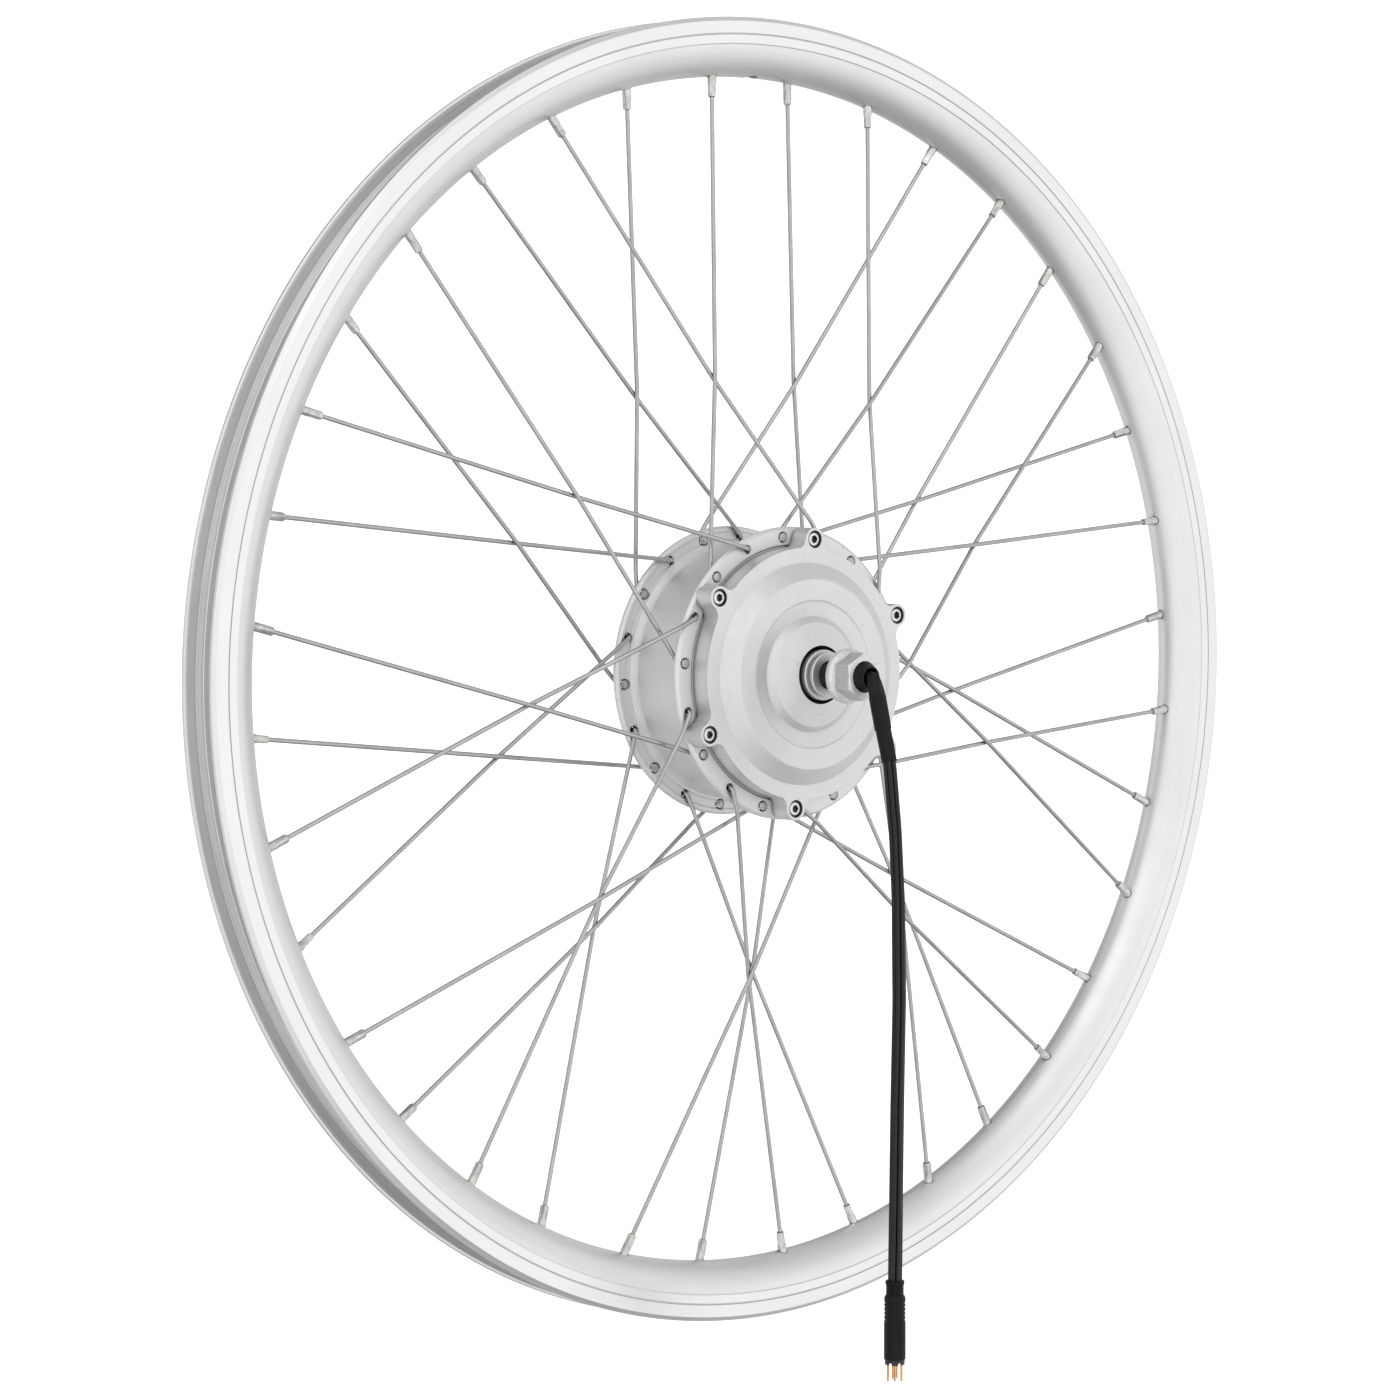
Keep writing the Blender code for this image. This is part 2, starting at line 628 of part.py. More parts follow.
def internal_gear(teeth, first_angle):
    pitch_r = MODULE * teeth / 2
    width = math.pi * MODULE / 2 * TOOTH_WIDTH_SHARE
    lean = math.tan(PRESSURE_ANGLE) * MODULE
    tip_r, root_r = pitch_r - ADDENDUM * MODULE, pitch_r + DEDENDUM * MODULE
    tip_half = (width / 2 - ADDENDUM * lean) / tip_r
    root_half = (width / 2 + DEDENDUM * lean) / root_r
    return tooth_row(teeth, tip_r, root_r, tip_half, root_half, first_angle)


def make_gears():
    """Sun, three planets and ring, in mesh at rest with a sun tooth and a ring gap at each planet."""
    low, high = GEAR_Y
    sun = prism("sun_gear", external_gear(SUN_TEETH, 0.0), low, high, gear_steel())
    hub_start, hub_end = high + 0.4, ROTOR_PLATE_Y[0] - GAP
    inside = SUN_BORE_R - 0.05
    hub = [(7.2, high - 0.5), (7.2, hub_start), (11.0, hub_start), (11.0, hub_end), (inside, hub_end),
           (inside, high - 0.5)]
    combine(sun, turned("sun_hub_helper", hub, 16, None, shown=False), "UNION")
    cut(sun, prism("sun_bore_cutter", polygon(SUN_BORE_R, 16), low - 1, ROTOR_PLATE_Y[0], None, shown=False))

    # A planet has a gap facing the sun, so the tooth nearest the ring is off its outer side by off_angle.
    gap_angle = math.pi + math.pi / PLANET_TEETH
    off_angle = gap_angle % (2 * math.pi / PLANET_TEETH)
    ring_angle = off_angle * PLANET_TEETH / RING_TEETH + math.pi / RING_TEETH
    ring = prism("ring_gear", polygon(SHELL_BORE_R - GAP - 0.1, HUB_STEPS), low, high, gear_steel())
    ring_teeth = internal_gear(RING_TEETH, ring_angle)
    cut(ring, prism("ring_tooth_cutter", ring_teeth, low - 1, high + 1, None, shown=False))

    planet = prism("planet_gear_1", external_gear(PLANET_TEETH, gap_angle), low, high, gear_nylon())
    cut(planet, prism("planet_bore_cutter", polygon(PLANET_BORE_R, 12), low - 1, high + 1, None, shown=False))
    bpy.context.view_layer.update()
    planet_mesh = finished_mesh(planet)
    planet.modifiers.clear()
    planet.data = planet_mesh
    for index in range(PLANET_COUNT):
        obj = planet if index == 0 else bpy.data.objects.new(f"planet_gear_{index + 1}", planet_mesh)
        if index:
            bpy.context.scene.collection.objects.link(obj)
        degrees = 360 / PLANET_COUNT * index
        obj.location = polar(PLANET_CIRCLE_R, degrees, 0) * MM
        obj.rotation_euler.y = -math.radians(degrees)


def make_carrier():
    """Planet carrier plate with three pins, held on the axle by the one-way clutch."""
    carrier = turned("planet_carrier", tube_outline(14.0, 31.0, *CARRIER_Y), 24, gear_steel())
    pins = bmesh.new()
    for index in range(PLANET_COUNT):
        place = polar(PLANET_CIRCLE_R, 360 / PLANET_COUNT * index, 0)
        add_prism(pins, polygon(PIN_R, 12, centre=(place.x, place.z)), CARRIER_Y[1] - 1, GEAR_Y[1] + 0.3)
    combine(carrier, new_object("planet_pin_helper", pins, None, shown=False), "UNION")
    turned("one_way_clutch", tube_outline(8.3, 13.7, *CARRIER_Y), 24, bearing_steel())


# ---------------------------------------------------------------- motor

def make_stator():
    """Laminated core with twelve T-shaped teeth, and the copper winding that fills its slots."""
    tooth_half, tip_half, yoke_r, shoe_r = 3.4, math.radians(12.5), 20.0, 37.5
    outline = []
    for slot in range(STATOR_SLOTS):
        centre = 2 * math.pi * slot / STATOR_SLOTS
        yoke_half = math.asin(tooth_half / yoke_r)
        shoe_half = math.asin(tooth_half / shoe_r)
        corners = ((yoke_r, -yoke_half), (shoe_r, -shoe_half), (shoe_r + 1.2, -tip_half),
                   (STATOR_R, -tip_half), (STATOR_R, 0.0), (STATOR_R, tip_half),
                   (shoe_r + 1.2, tip_half), (shoe_r, shoe_half), (yoke_r, yoke_half))
        outline += [(r * math.cos(centre + a), r * math.sin(centre + a)) for r, a in corners]
    core = prism("stator_core", outline, *STATOR_Y, lamination())
    low, high = STATOR_Y
    cut(core, prism("stator_bore_cutter", polygon(STATOR_BORE_R, 24), low - 1, high + 1, None, shown=False))

    near_turns = tube_outline(*WINDING_R, WINDING_Y[0], low - GAP)
    winding = turned("stator_winding", near_turns, 24, copper())
    far_turns = tube_outline(*WINDING_R, high + GAP, WINDING_Y[1])
    combine(winding, turned("winding_end_helper", far_turns, 24, None, shown=False), "UNION")
    bars = bmesh.new()
    for slot in range(STATOR_SLOTS):
        centre = 2 * math.pi * (slot + 0.5) / STATOR_SLOTS
        (r1, h1), (r2, h2) = [(r, math.pi / STATOR_SLOTS - math.asin((tooth_half + 0.5) / r))
                              for r in (WINDING_R[0] + 1.0, WINDING_R[1] - 0.8)]
        corners = ((r1, -h1), (r2, -h2), (r2, h2), (r1, h1))
        bar = [(r * math.cos(centre + a), r * math.sin(centre + a)) for r, a in corners]
        add_prism(bars, bar, low - 1.0, high + 1.0)
    combine(winding, new_object("winding_bar_helper", bars, None, shown=False), "UNION")


def make_rotor():
    """Outer rotor: magnets in a steel can, whose plate turns on a bush around the axle."""
    can_inner, can_outer = ROTOR_CAN_R
    plate_low, plate_high = ROTOR_PLATE_Y
    can = [(can_outer, plate_low), (can_outer, ROTOR_END_Y), (can_inner, ROTOR_END_Y),
           (can_inner, plate_high), (BUSH_R + GAP, plate_high), (BUSH_R + GAP, plate_low)]
    turned("rotor_can", can, HUB_STEPS, gear_steel())
    magnets = tube_outline(*MAGNET_R, STATOR_Y[0] + 1, STATOR_Y[1] - 1)
    turned("magnet_ring", magnets, HUB_STEPS, magnet())
    turned("rotor_bush", tube_outline(SUN_BORE_R, BUSH_R, plate_low, plate_high), 24, bearing_steel())


def make_hall_board():
    """Ring-shaped sensor board behind the winding."""
    turned("hall_board", tube_outline(*BOARD_R, *BOARD_Y), 24, board_green())


# ---------------------------------------------------------------- cable and connector

def cable_line():
    """The cable's centre line, with the corner at each bend cut off."""
    corners = [Vector((0, y, z)) for y, z in CABLE_BENDS]
    line = [corners[0]]
    for a, b in zip(corners, corners[1:]):
        line += [a.lerp(b, 0.25), a.lerp(b, 0.75)]
    return line + [corners[-1]]


def at_height(line, z):
    """The point of a falling line at the height z."""
    for a, b in zip(line, line[1:]):
        if a.z > z >= b.z:
            return a.lerp(b, (a.z - z) / (a.z - b.z))


def make_cable():
    """Bundle of wires from inside the axle's mouth down to the plug."""
    line = cable_line()
    radii = [CABLE_MOUTH_R if p.z > SLEEVE_TOP_Z else CABLE_R for p in line]
    bm = bmesh.new()
    add_sweep(bm, line, radii, 8)
    new_object("motor_cable", bm, cable_jacket())


def make_cable_sleeve():
    """Heat-shrink sleeve around the top of the cable: an open tube with its own wall."""
    line = cable_line()
    between = [p for p in line if SLEEVE_BOTTOM_Z + 1 < p.z < SLEEVE_TOP_Z - 1]
    covered = [at_height(line, SLEEVE_TOP_Z), *between, at_height(line, SLEEVE_BOTTOM_Z)]
    last = len(covered) - 1
    bm = bmesh.new()
    inner = add_sweep(bm, covered, [CABLE_R + GAP + 0.05] * len(covered), 8, closed_ends=False)
    radii = [SLEEVE_TOP_R + (SLEEVE_BOTTOM_R - SLEEVE_TOP_R) * i / last for i in range(last + 1)]
    outer = add_sweep(bm, covered, radii, 8, closed_ends=False)
    for one, two in ((inner[0], outer[0]), (inner[-1], outer[-1])):
        for k in range(8):
            bm.faces.new([one[k], one[(k + 1) % 8], two[(k + 1) % 8], two[k]])
    new_object("cable_sleeve", bm, cable_jacket())


def make_connector():
    """Round plug hanging at the cable's end: a hollow body, and an insert that holds nine pins."""
    upright = Matrix.Rotation(math.radians(90), 3, "X")     # the turning axis +Y becomes +Z
    centre = Vector((0, PLUG_Y, 0))
    body = [(0, PLUG_TOP_Z), (PLUG_NECK_R, PLUG_TOP_Z), (PLUG_NECK_R, PLUG_TOP_Z - 9),
            (PLUG_R, PLUG_TOP_Z - 11), (PLUG_R, PLUG_BOTTOM_Z), (PLUG_SOCKET_R, PLUG_BOTTOM_Z),
            (PLUG_SOCKET_R, PLUG_BOTTOM_Z + 7.5), (0, PLUG_BOTTOM_Z + 7.5)]
    turned("connector_body", body, 16, plug_plastic(), centre=centre, to_axis=upright)
    disc_low, disc_high = PLUG_BOTTOM_Z + 3.6, PLUG_BOTTOM_Z + 7.2
    disc = [(0, disc_low), (3.6, disc_low), (3.6, disc_high), (0, disc_high)]
    insert = turned("connector_pins", disc, 16, gold_pin(), centre=centre, to_axis=upright)
    pins = bmesh.new()
    places = [(0.0, 0.0)] + polygon(2.4, 8)
    for x, y in places:
        top, bottom = (x, PLUG_Y + y, disc_low + 1), (x, PLUG_Y + y, PIN_BOTTOM_Z)
        add_bar(pins, top, bottom, CONTACT_R, 6)
    combine(insert, new_object("pin_helper", pins, None, shown=False), "UNION")


# ---------------------------------------------------------------- the whole wheel

def main():
    for obj in list(bpy.data.objects):
        bpy.data.objects.remove(obj)
    make_rim()
    make_spokes()
    make_hub_shell()
    make_side_cover()
    make_cover_screws()
    make_seals()
    make_axle()
    make_nuts()
    make_spacers()
    make_bearing("near", *NEAR_BEARING_Y)
    make_bearing("far", *FAR_BEARING_Y)
    make_gears()
    make_carrier()
    make_stator()
    make_rotor()
    make_hall_board()
    make_cable()
    make_cable_sleeve()
    make_connector()
    bpy.context.view_layer.update()


main()
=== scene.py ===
"""The looks of the hub motor wheel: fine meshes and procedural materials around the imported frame.

A piece's sizes are millimetres and are turned into metres once, in bare_object(). Materials, stage, lights
and camera work in metres. Places come from the frame's boxes.
The axle runs along Y, with the cable side at -Y. An angle round the wheel is measured from +X towards +Z.
"""
import math
import random
from functools import cache

import bmesh
import bpy
from mathutils import Matrix, Vector


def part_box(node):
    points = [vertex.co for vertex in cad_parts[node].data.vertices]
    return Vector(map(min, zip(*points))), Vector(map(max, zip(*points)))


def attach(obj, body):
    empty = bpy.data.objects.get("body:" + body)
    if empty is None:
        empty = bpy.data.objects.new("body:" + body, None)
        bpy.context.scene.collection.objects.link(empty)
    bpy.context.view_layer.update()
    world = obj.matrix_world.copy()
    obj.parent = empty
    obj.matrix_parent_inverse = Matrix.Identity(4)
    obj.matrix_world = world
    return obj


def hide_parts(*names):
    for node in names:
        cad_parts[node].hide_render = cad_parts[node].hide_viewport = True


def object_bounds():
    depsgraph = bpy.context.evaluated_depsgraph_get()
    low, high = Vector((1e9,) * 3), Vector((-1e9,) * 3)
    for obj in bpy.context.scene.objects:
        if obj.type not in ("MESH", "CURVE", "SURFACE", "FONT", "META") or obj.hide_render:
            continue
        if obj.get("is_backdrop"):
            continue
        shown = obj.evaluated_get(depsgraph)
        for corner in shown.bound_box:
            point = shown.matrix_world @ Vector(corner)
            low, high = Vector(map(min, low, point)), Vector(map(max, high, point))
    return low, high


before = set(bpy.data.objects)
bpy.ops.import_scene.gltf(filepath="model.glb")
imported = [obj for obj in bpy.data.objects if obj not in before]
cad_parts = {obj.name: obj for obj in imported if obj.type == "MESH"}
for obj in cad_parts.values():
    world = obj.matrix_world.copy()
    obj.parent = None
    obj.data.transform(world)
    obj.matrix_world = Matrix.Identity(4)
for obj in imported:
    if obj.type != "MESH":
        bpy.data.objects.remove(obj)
CAD_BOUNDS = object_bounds()

MM = 0.001
CIRCLE = 2 * math.pi
AXLE, WHEEL = "axle_assembly", "wheel"
random.seed(36)


def box_mm(node):
    low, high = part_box(node)
    return low / MM, high / MM


# Places read from the frame
RIM_LOW, RIM_HIGH = box_mm("rim")
RIM_Y = (RIM_LOW.y + RIM_HIGH.y) / 2
RIM_R = RIM_HIGH.x
RIM_HALF = (RIM_HIGH.y - RIM_LOW.y) / 2
FLANGE_R = box_mm("hub_shell")[1].x
SPACER_LOW, SPACER_HIGH = box_mm("near_spacer")
FAR_SPACER_LOW, FAR_SPACER_HIGH = box_mm("far_spacer")
AXLE_LOW, AXLE_HIGH = box_mm("axle")
NUT_LOW, NUT_HIGH = box_mm("near_nut")
FAR_NUT_SEAT = box_mm("far_nut")[0].y
PLUG_LOW, PLUG_HIGH = box_mm("connector_body")
PIN_END = box_mm("connector_pins")[0].z

# Rim: places as distances inward from its outer edge, and how finely it is turned
BED_DEPTH = 25.4
TRACK_DEPTH = 11.6
GROOVE_DEPTH = 7.5
RIM_STEPS = 288
BED_STEPS = 14
BED_ROUNDNESS = 1.7                     # 2 would make the rim's inner side an ellipse, 1 a plain V
VALVE_ANGLE = 89.5
VALVE_HOLE_R = 3.25
NIPPLE_HOLE_R = 2.2

# Spokes
HOLES = 18
PITCH = 360 / HOLES
LACING = 40.0
HOLE_CIRCLE = 59.5
SPOKE_R = 1.0
CROSSING_OFFSET = 1.04                  # half the distance between the wires of a crossing pair
ELBOW_OFFSET = 1.75
FLANGE_OUT = 22.55
FLANGE_IN = 19.55
NEAR_FIRST, FAR_FIRST = 114.5, 124.5
PAIR_OFFSET = 60.0
CROSSING_T = 0.3974
RIM_HOLE_STAGGER = 1.5
NIPPLE_LENGTH = 9.6

# Hub
BARREL_R = 54.5
POCKET_R = 54.9
SCREW_CIRCLE = 58.7
SCREW_ANGLE = 84.77
SCREWS = 6
EAR_R = 5.1
EAR_FILLET = 4.6
SHELL_END = -29.9
COVER_SEAT = -30.2
COVER_FACE = -32.45
SCREW_SEAT = COVER_FACE + 2.0
SCREW_TOP = COVER_FACE + 0.55
HUB_STEPS = 180

# Axle line
THREAD_R = 6.0
THREAD_DEPTH = 0.6
THREAD_PITCH = 1.5
NUT_FLATS = 18.0

# Cable and plug
CABLE_BENDS = [(-64.0, 0.3, 0), (-76.9, 0.3, 3.2), (-79.0, -6.5, 10), (-83.3, -22.0, 60), (-87.4, -35.5, 60),
               (-91.1, -64.4, 120), (-93.2, -95.0, 120), (-93.9, -137.0, 120), (-92.8, -180.0, 120),
               (-92.1, -222.0, 120), (-91.6, -257.5, 0)]     # (y, z, bend radius)
CABLE_EXIT_Y = -74.0
SLEEVE_TOP, SLEEVE_END = -7.4, -36.4
WIRES = 6
PLUG_CENTRE = Vector((0, (PLUG_LOW.y + PLUG_HIGH.y) / 2, 0))
PLUG_TOP, PLUG_END = PLUG_HIGH.z, PLUG_LOW.z
PLUG_R = (PLUG_HIGH.x - PLUG_LOW.x) / 2
PLUG_SKIRT = PLUG_END + 2.3
PLUG_KEY = -39.0                        # the plug's turn about its own axis, in degrees
PLUG_WAVES = 5
PLUG_WAVE_PITCH = 1.8
PLUG_WAVE_DEPTH = 0.30
UPRIGHT = Matrix.Rotation(math.radians(90), 3, "X")

# Camera and studio
CAMERA_TURN = math.radians(-39.10)
CAMERA_RISE = math.radians(2.742)
CAMERA_DISTANCE = 1.9235
CAMERA_SHIFT = (-0.02003, -0.01279)
CAMERA_LENS = 112.02
STUDIO_BASE = 0.60
STUDIO_PANELS = [                       # direction, cosines where it starts and is full, light added
    ((-0.35, -0.93, 0.00), 0.25, 0.85, 0.40),
    ((0.90, -0.436, 0.00), 0.60, 0.98, 0.31),
    ((-0.63, 0.775, 0.00), 0.60, 0.95, 0.16),
    ((0.05, 0.780, 0.62), 0.72, 0.95, -0.28),
    ((0.88, 0.476, 0.00), 0.85, 0.98, 0.06),
    ((0.35, 0.937, 0.00), 0.88, 0.98, 0.10),
    ((-0.98, 0.08, 0.00), 0.88, 0.98, -0.18),
    ((0.00, 0.10, -1.00), 0.60, 0.95, -0.25)]


# ---------------------------------------------------------------- material tools

class Nodes:
    """A node tree with short ways to add nodes. A source is a plain value or another node's output."""

    def __init__(self, tree):
        self.tree = tree

    def put(self, source, target):
        if hasattr(source, "is_output"):
            self.tree.links.new(source, target)
        elif target.type == "RGBA":
            target.default_value = (*source, 1.0)
        else:
            target.default_value = source

    def node(self, kind, sources=None, **settings):
        made = self.tree.nodes.new(kind)
        for key, setting in settings.items():
            setattr(made, key, setting)
        for key, source in (sources or {}).items():
            self.put(source, made.inputs[key])
        return made

    def math(self, operation, a, b=0.0, clamp=False):
        return self.node("ShaderNodeMath", {0: a, 1: b}, operation=operation, use_clamp=clamp).outputs[0]

    def times(self, a, b):
        return self.math("MULTIPLY", a, b)

    def remap(self, source, low, high, to_low, to_high, **settings):
        sources = {"Value": source, "From Min": low, "From Max": high, "To Min": to_low, "To Max": to_high}
        return self.node("ShaderNodeMapRange", sources, **settings).outputs["Result"]

    def mix(self, share, a, b, kind="RGBA"):
        sources = {"Factor": share, "A": a, "B": b}
        return self.node("ShaderNodeMix", sources, data_type=kind).outputs["Result"]

    def split(self, vector):
        return self.node("ShaderNodeSeparateXYZ", {0: vector}).outputs

    def join(self, x, y, z):
        return self.node("ShaderNodeCombineXYZ", {0: x, 1: y, 2: z}).outputs[0]


class Look(Nodes):
    """A material that starts plain and gains tone, gloss and relief, one call at a time."""

    def __init__(self, name, colour, metallic, roughness, specular=0.5):
        self.material = bpy.data.materials.new(name)
        self.material.use_nodes = True
        super().__init__(self.material.node_tree)
        self.shader = self.tree.nodes["Principled BSDF"]
        self.put(metallic, self.shader.inputs["Metallic"])
        self.put(specular, self.shader.inputs["Specular IOR Level"])
        self.coords = self.node("ShaderNodeTexCoord").outputs["Object"]
        self.colour = self.mix(0.0, colour, colour)
        self.rough = self.math("ADD", roughness, 0.0)
        self.height = None

    def noise(self, scale, detail=3.0, roughness=0.5, vector=None):
        sources = {"Vector": vector or self.coords, "Scale": scale, "Detail": detail, "Roughness": roughness}
        return self.node("ShaderNodeTexNoise", sources).outputs["Fac"]

    def stretched(self, *parts, detail=2.0):
        """Noise over three (source, scale) pairs, drawn out where the scale is small."""
        scaled = [self.times(source, scale) for source, scale in parts]
        return self.noise(1.0, detail, vector=self.join(*scaled))

    def cells(self, scale):
        return self.node("ShaderNodeTexVoronoi", {"Vector": self.coords, "Scale": scale}).outputs

    def around_axle(self):
        """(angle, distance from the axle, place along it) of the shaded point."""
        x, y, z = self.split(self.coords)
        square = self.math("ADD", self.times(x, x), self.times(z, z))
        return self.math("ARCTAN2", z, x), self.math("SQRT", square), y

    def tint(self, share, colour):
        self.colour = self.mix(share, self.colour, colour)

    def vary(self, source, amount):
        """Lightens and darkens the colour by up to amount as source goes from 0 to 1."""
        sources = {"Color": self.colour, "Value": self.remap(source, 0.25, 0.75, 1 - amount, 1 + amount)}
        self.colour = self.node("ShaderNodeHueSaturation", sources).outputs["Color"]

    def roughen(self, source, amount):
        shift = self.remap(source, 0.25, 0.75, -amount, amount)
        self.rough = self.math("ADD", self.rough, shift, clamp=True)

    def raise_by(self, source, amount_mm):
        """Adds source, from 0 to 1, to the bump height as amount_mm."""
        step = self.times(source, amount_mm * MM)
        self.height = step if self.height is None else self.math("ADD", self.height, step)

    def weather(self, clouds=None, polish=None, grain=None):
        """Adds uneven tone, uneven gloss and fine relief, each as (noise scale, amount)."""
        for pair, effect in ((clouds, self.vary), (polish, self.roughen), (grain, self.raise_by)):
            if pair:
                effect(self.noise(pair[0]), pair[1])

    def closeness(self, reach_mm, inside):
        """How open a point is to the air, or to the solid behind it: 1 where nothing is near."""
        sources = {"Distance": reach_mm * MM}
        return self.node("ShaderNodeAmbientOcclusion", sources, samples=5, inside=inside).outputs["AO"]

    def worn_edges(self, colour, share, reach_mm=0.35):
        """Lightens outer edges, where handling rubs them."""
        self.tint(self.remap(self.closeness(reach_mm, True), 0.55, 0.9, share, 0.0), colour)

    def painted_shade(self, colour, reach_mm, share, unshaded_from=0.85):
        """Painted shade: darkens the colour in corners and narrow gaps, where light doesn't reach."""
        self.tint(self.remap(self.closeness(reach_mm, False), 0.15, unshaded_from, share, 0.0), colour)

    def done(self):
        self.put(self.colour, self.shader.inputs["Base Color"])
        self.put(self.rough, self.shader.inputs["Roughness"])
        if self.height is not None:
            bump = self.node("ShaderNodeBump", {"Distance": 1.0, "Strength": 1.0, "Height": self.height})
            self.put(bump.outputs[0], self.shader.inputs["Normal"])
        return self.material


# ---------------------------------------------------------------- materials

def material(colour, metallic, roughness, specular=0.5):
    """Makes a function that works on a plain look into one that gives its finished material."""
    def wrap(work):
        @cache
        def give():
            look = Look(work.__name__, colour, metallic, roughness, specular)
            work(look)
            return look.done()
        return give
    return wrap


@material((0.865, 0.862, 0.864), 1.0, 0.38)
def rim_alloy(look):
    """Satin extrusion with brake tracks machined to fine rings on both sides."""
    angle, radius, along = look.around_axle()
    off_middle = look.math("ABSOLUTE", look.math("SUBTRACT", along, RIM_Y * MM))
    on_side = look.math("GREATER_THAN", off_middle, (RIM_HALF - 0.25) * MM)
    in_track = look.math("GREATER_THAN", radius, (RIM_R - TRACK_DEPTH) * MM)
    track = look.times(on_side, in_track)
    drawn = look.stretched((angle, 9.0), (radius, 2600.0), (along, 2600.0))
    rings = look.stretched((angle, 2.0), (radius, 5200.0), (0.0, 0.0))
    look.tint(look.times(track, 0.75), (0.92, 0.92, 0.92))
    look.vary(drawn, 0.03)
    look.vary(look.noise(14.0, 2.0), 0.025)
    look.weather(polish=(60.0, 0.05))
    look.rough = look.mix(track, look.rough, 0.30, kind="FLOAT")
    look.raise_by(look.mix(track, look.times(drawn, 0.4), rings, kind="FLOAT"), 0.004)
    look.worn_edges((0.93, 0.93, 0.94), 0.5)
    # Painted shade: darker colour in the tyre channel and under the hooked lips, and round the spoke holes
    # and tight corners.
    look.painted_shade((0.38, 0.38, 0.385), 14.0, 0.75, unshaded_from=0.65)
    look.painted_shade((0.22, 0.22, 0.225), 2.5, 0.6)


def cast_silver(look, turned_rings):
    """Satin silver casting: a fine sparkling grain, soft clouding, lighter worn edges and turned rings."""
    angle, radius, along = look.around_axle()
    grain = look.noise(2600.0, 2.0, 0.65)
    look.vary(grain, 0.07)
    look.vary(look.noise(35.0, 4.0, 0.6), 0.035)
    look.weather(polish=(120.0, 0.06))
    look.raise_by(grain, 0.010)
    if turned_rings:
        rings = look.stretched((angle, 1.2), (radius, 1500.0), (along, 1500.0))
        look.vary(rings, 0.02)
        look.raise_by(rings, 0.004)
    look.tint(look.remap(look.noise(420.0, 2.0, 0.4), 0.73, 0.78, 0.0, 0.45), (0.28, 0.28, 0.27))
    look.worn_edges((0.92, 0.92, 0.93), 0.6)
    # Painted shade: darker colour in the pockets between the cover's ears and the near flange, and in all
    # tight corners.
    in_pockets = look.math("LESS_THAN", along, (0.4 - FLANGE_OUT) * MM)
    look.painted_shade((0.30, 0.30, 0.305), 7.0, look.times(in_pockets, 0.45))
    look.painted_shade((0.02, 0.02, 0.022), 2.4, 0.9)


@material((0.80, 0.802, 0.81), 0.9, 0.54)
def hub_shell_alloy(look):
    cast_silver(look, turned_rings=False)


@material((0.76, 0.762, 0.768), 0.9, 0.48)
def hub_cover_alloy(look):
    cast_silver(look, turned_rings=True)


@material((0.50, 0.50, 0.51), 1.0, 0.26)
def spoke_stainless(look):
    """Drawn stainless wire, a little clouded and scratched."""
    look.weather((90.0, 0.10), (500.0, 0.08), (1800.0, 0.004))
    # Painted shade where the spokes meet the flange and each other.
    look.painted_shade((0.03, 0.03, 0.03), 1.2, 0.8)


@material((0.66, 0.65, 0.635), 1.0, 0.15)
def nipple_nickel(look):
    """Nickelled brass: bright, with handling marks and darker scuffs."""
    look.weather((300.0, 0.22), (700.0, 0.10), (1500.0, 0.010))
    look.tint(look.remap(look.noise(900.0, 2.0), 0.62, 0.72, 0.0, 0.5), (0.35, 0.34, 0.33))
    # Painted shade in the tight corners round the nipple.
    look.painted_shade((0.02, 0.02, 0.02), 0.9, 1.0)


@material((0.76, 0.765, 0.76), 0.8, 0.52)
def nut_zinc(look):
    """Galvanised nut: pale crystals of uneven tone with pits and rubbed corners, and side faces painted
    darker as painted shade.
    """
    normal = look.node("ShaderNodeTexCoord").outputs["Normal"]
    # Painted shade: faces that look across the axle are given a darker colour than the end faces.
    facing_end = look.math("ABSOLUTE", look.split(normal)[1])
    look.tint(look.remap(facing_end, 0.02, 0.12, 0.85, 0.0), (0.56, 0.565, 0.56))
    look.vary(look.split(look.cells(1300.0)["Color"])[0], 0.05)
    look.vary(look.noise(420.0, 5.0, 0.7), 0.12)
    look.tint(look.remap(look.noise(900.0, 3.0, 0.7), 0.60, 0.72, 0.0, 0.5), (0.25, 0.25, 0.25))
    look.weather(polish=(500.0, 0.12))
    look.raise_by(look.noise(1500.0, 3.0, 0.6), 0.02)
    look.worn_edges((0.80, 0.80, 0.79), 0.7, 0.5)
    # Painted shade in the nut's tight corners.
    look.painted_shade((0.05, 0.05, 0.05), 1.2, 0.8)


@material((0.020, 0.020, 0.022), 0.85, 0.38)
def axle_black(look):
    """Blackened steel thread: dark, with thin grey rub on its crests."""
    look.weather((300.0, 0.4), (700.0, 0.12), (1600.0, 0.012))
    look.worn_edges((0.12, 0.12, 0.125), 0.4)


@material((0.82, 0.82, 0.83), 1.0, 0.26)
def screw_steel(look):
    """Stainless socket screw: polished head, painted shade in the socket."""
    look.weather((500.0, 0.12), (900.0, 0.08), (1500.0, 0.006))
    look.worn_edges((0.92, 0.92, 0.93), 0.6)
    # Painted shade in the socket and round the head in its counterbore.
    look.painted_shade((0.008, 0.008, 0.008), 3.6, 1.0)


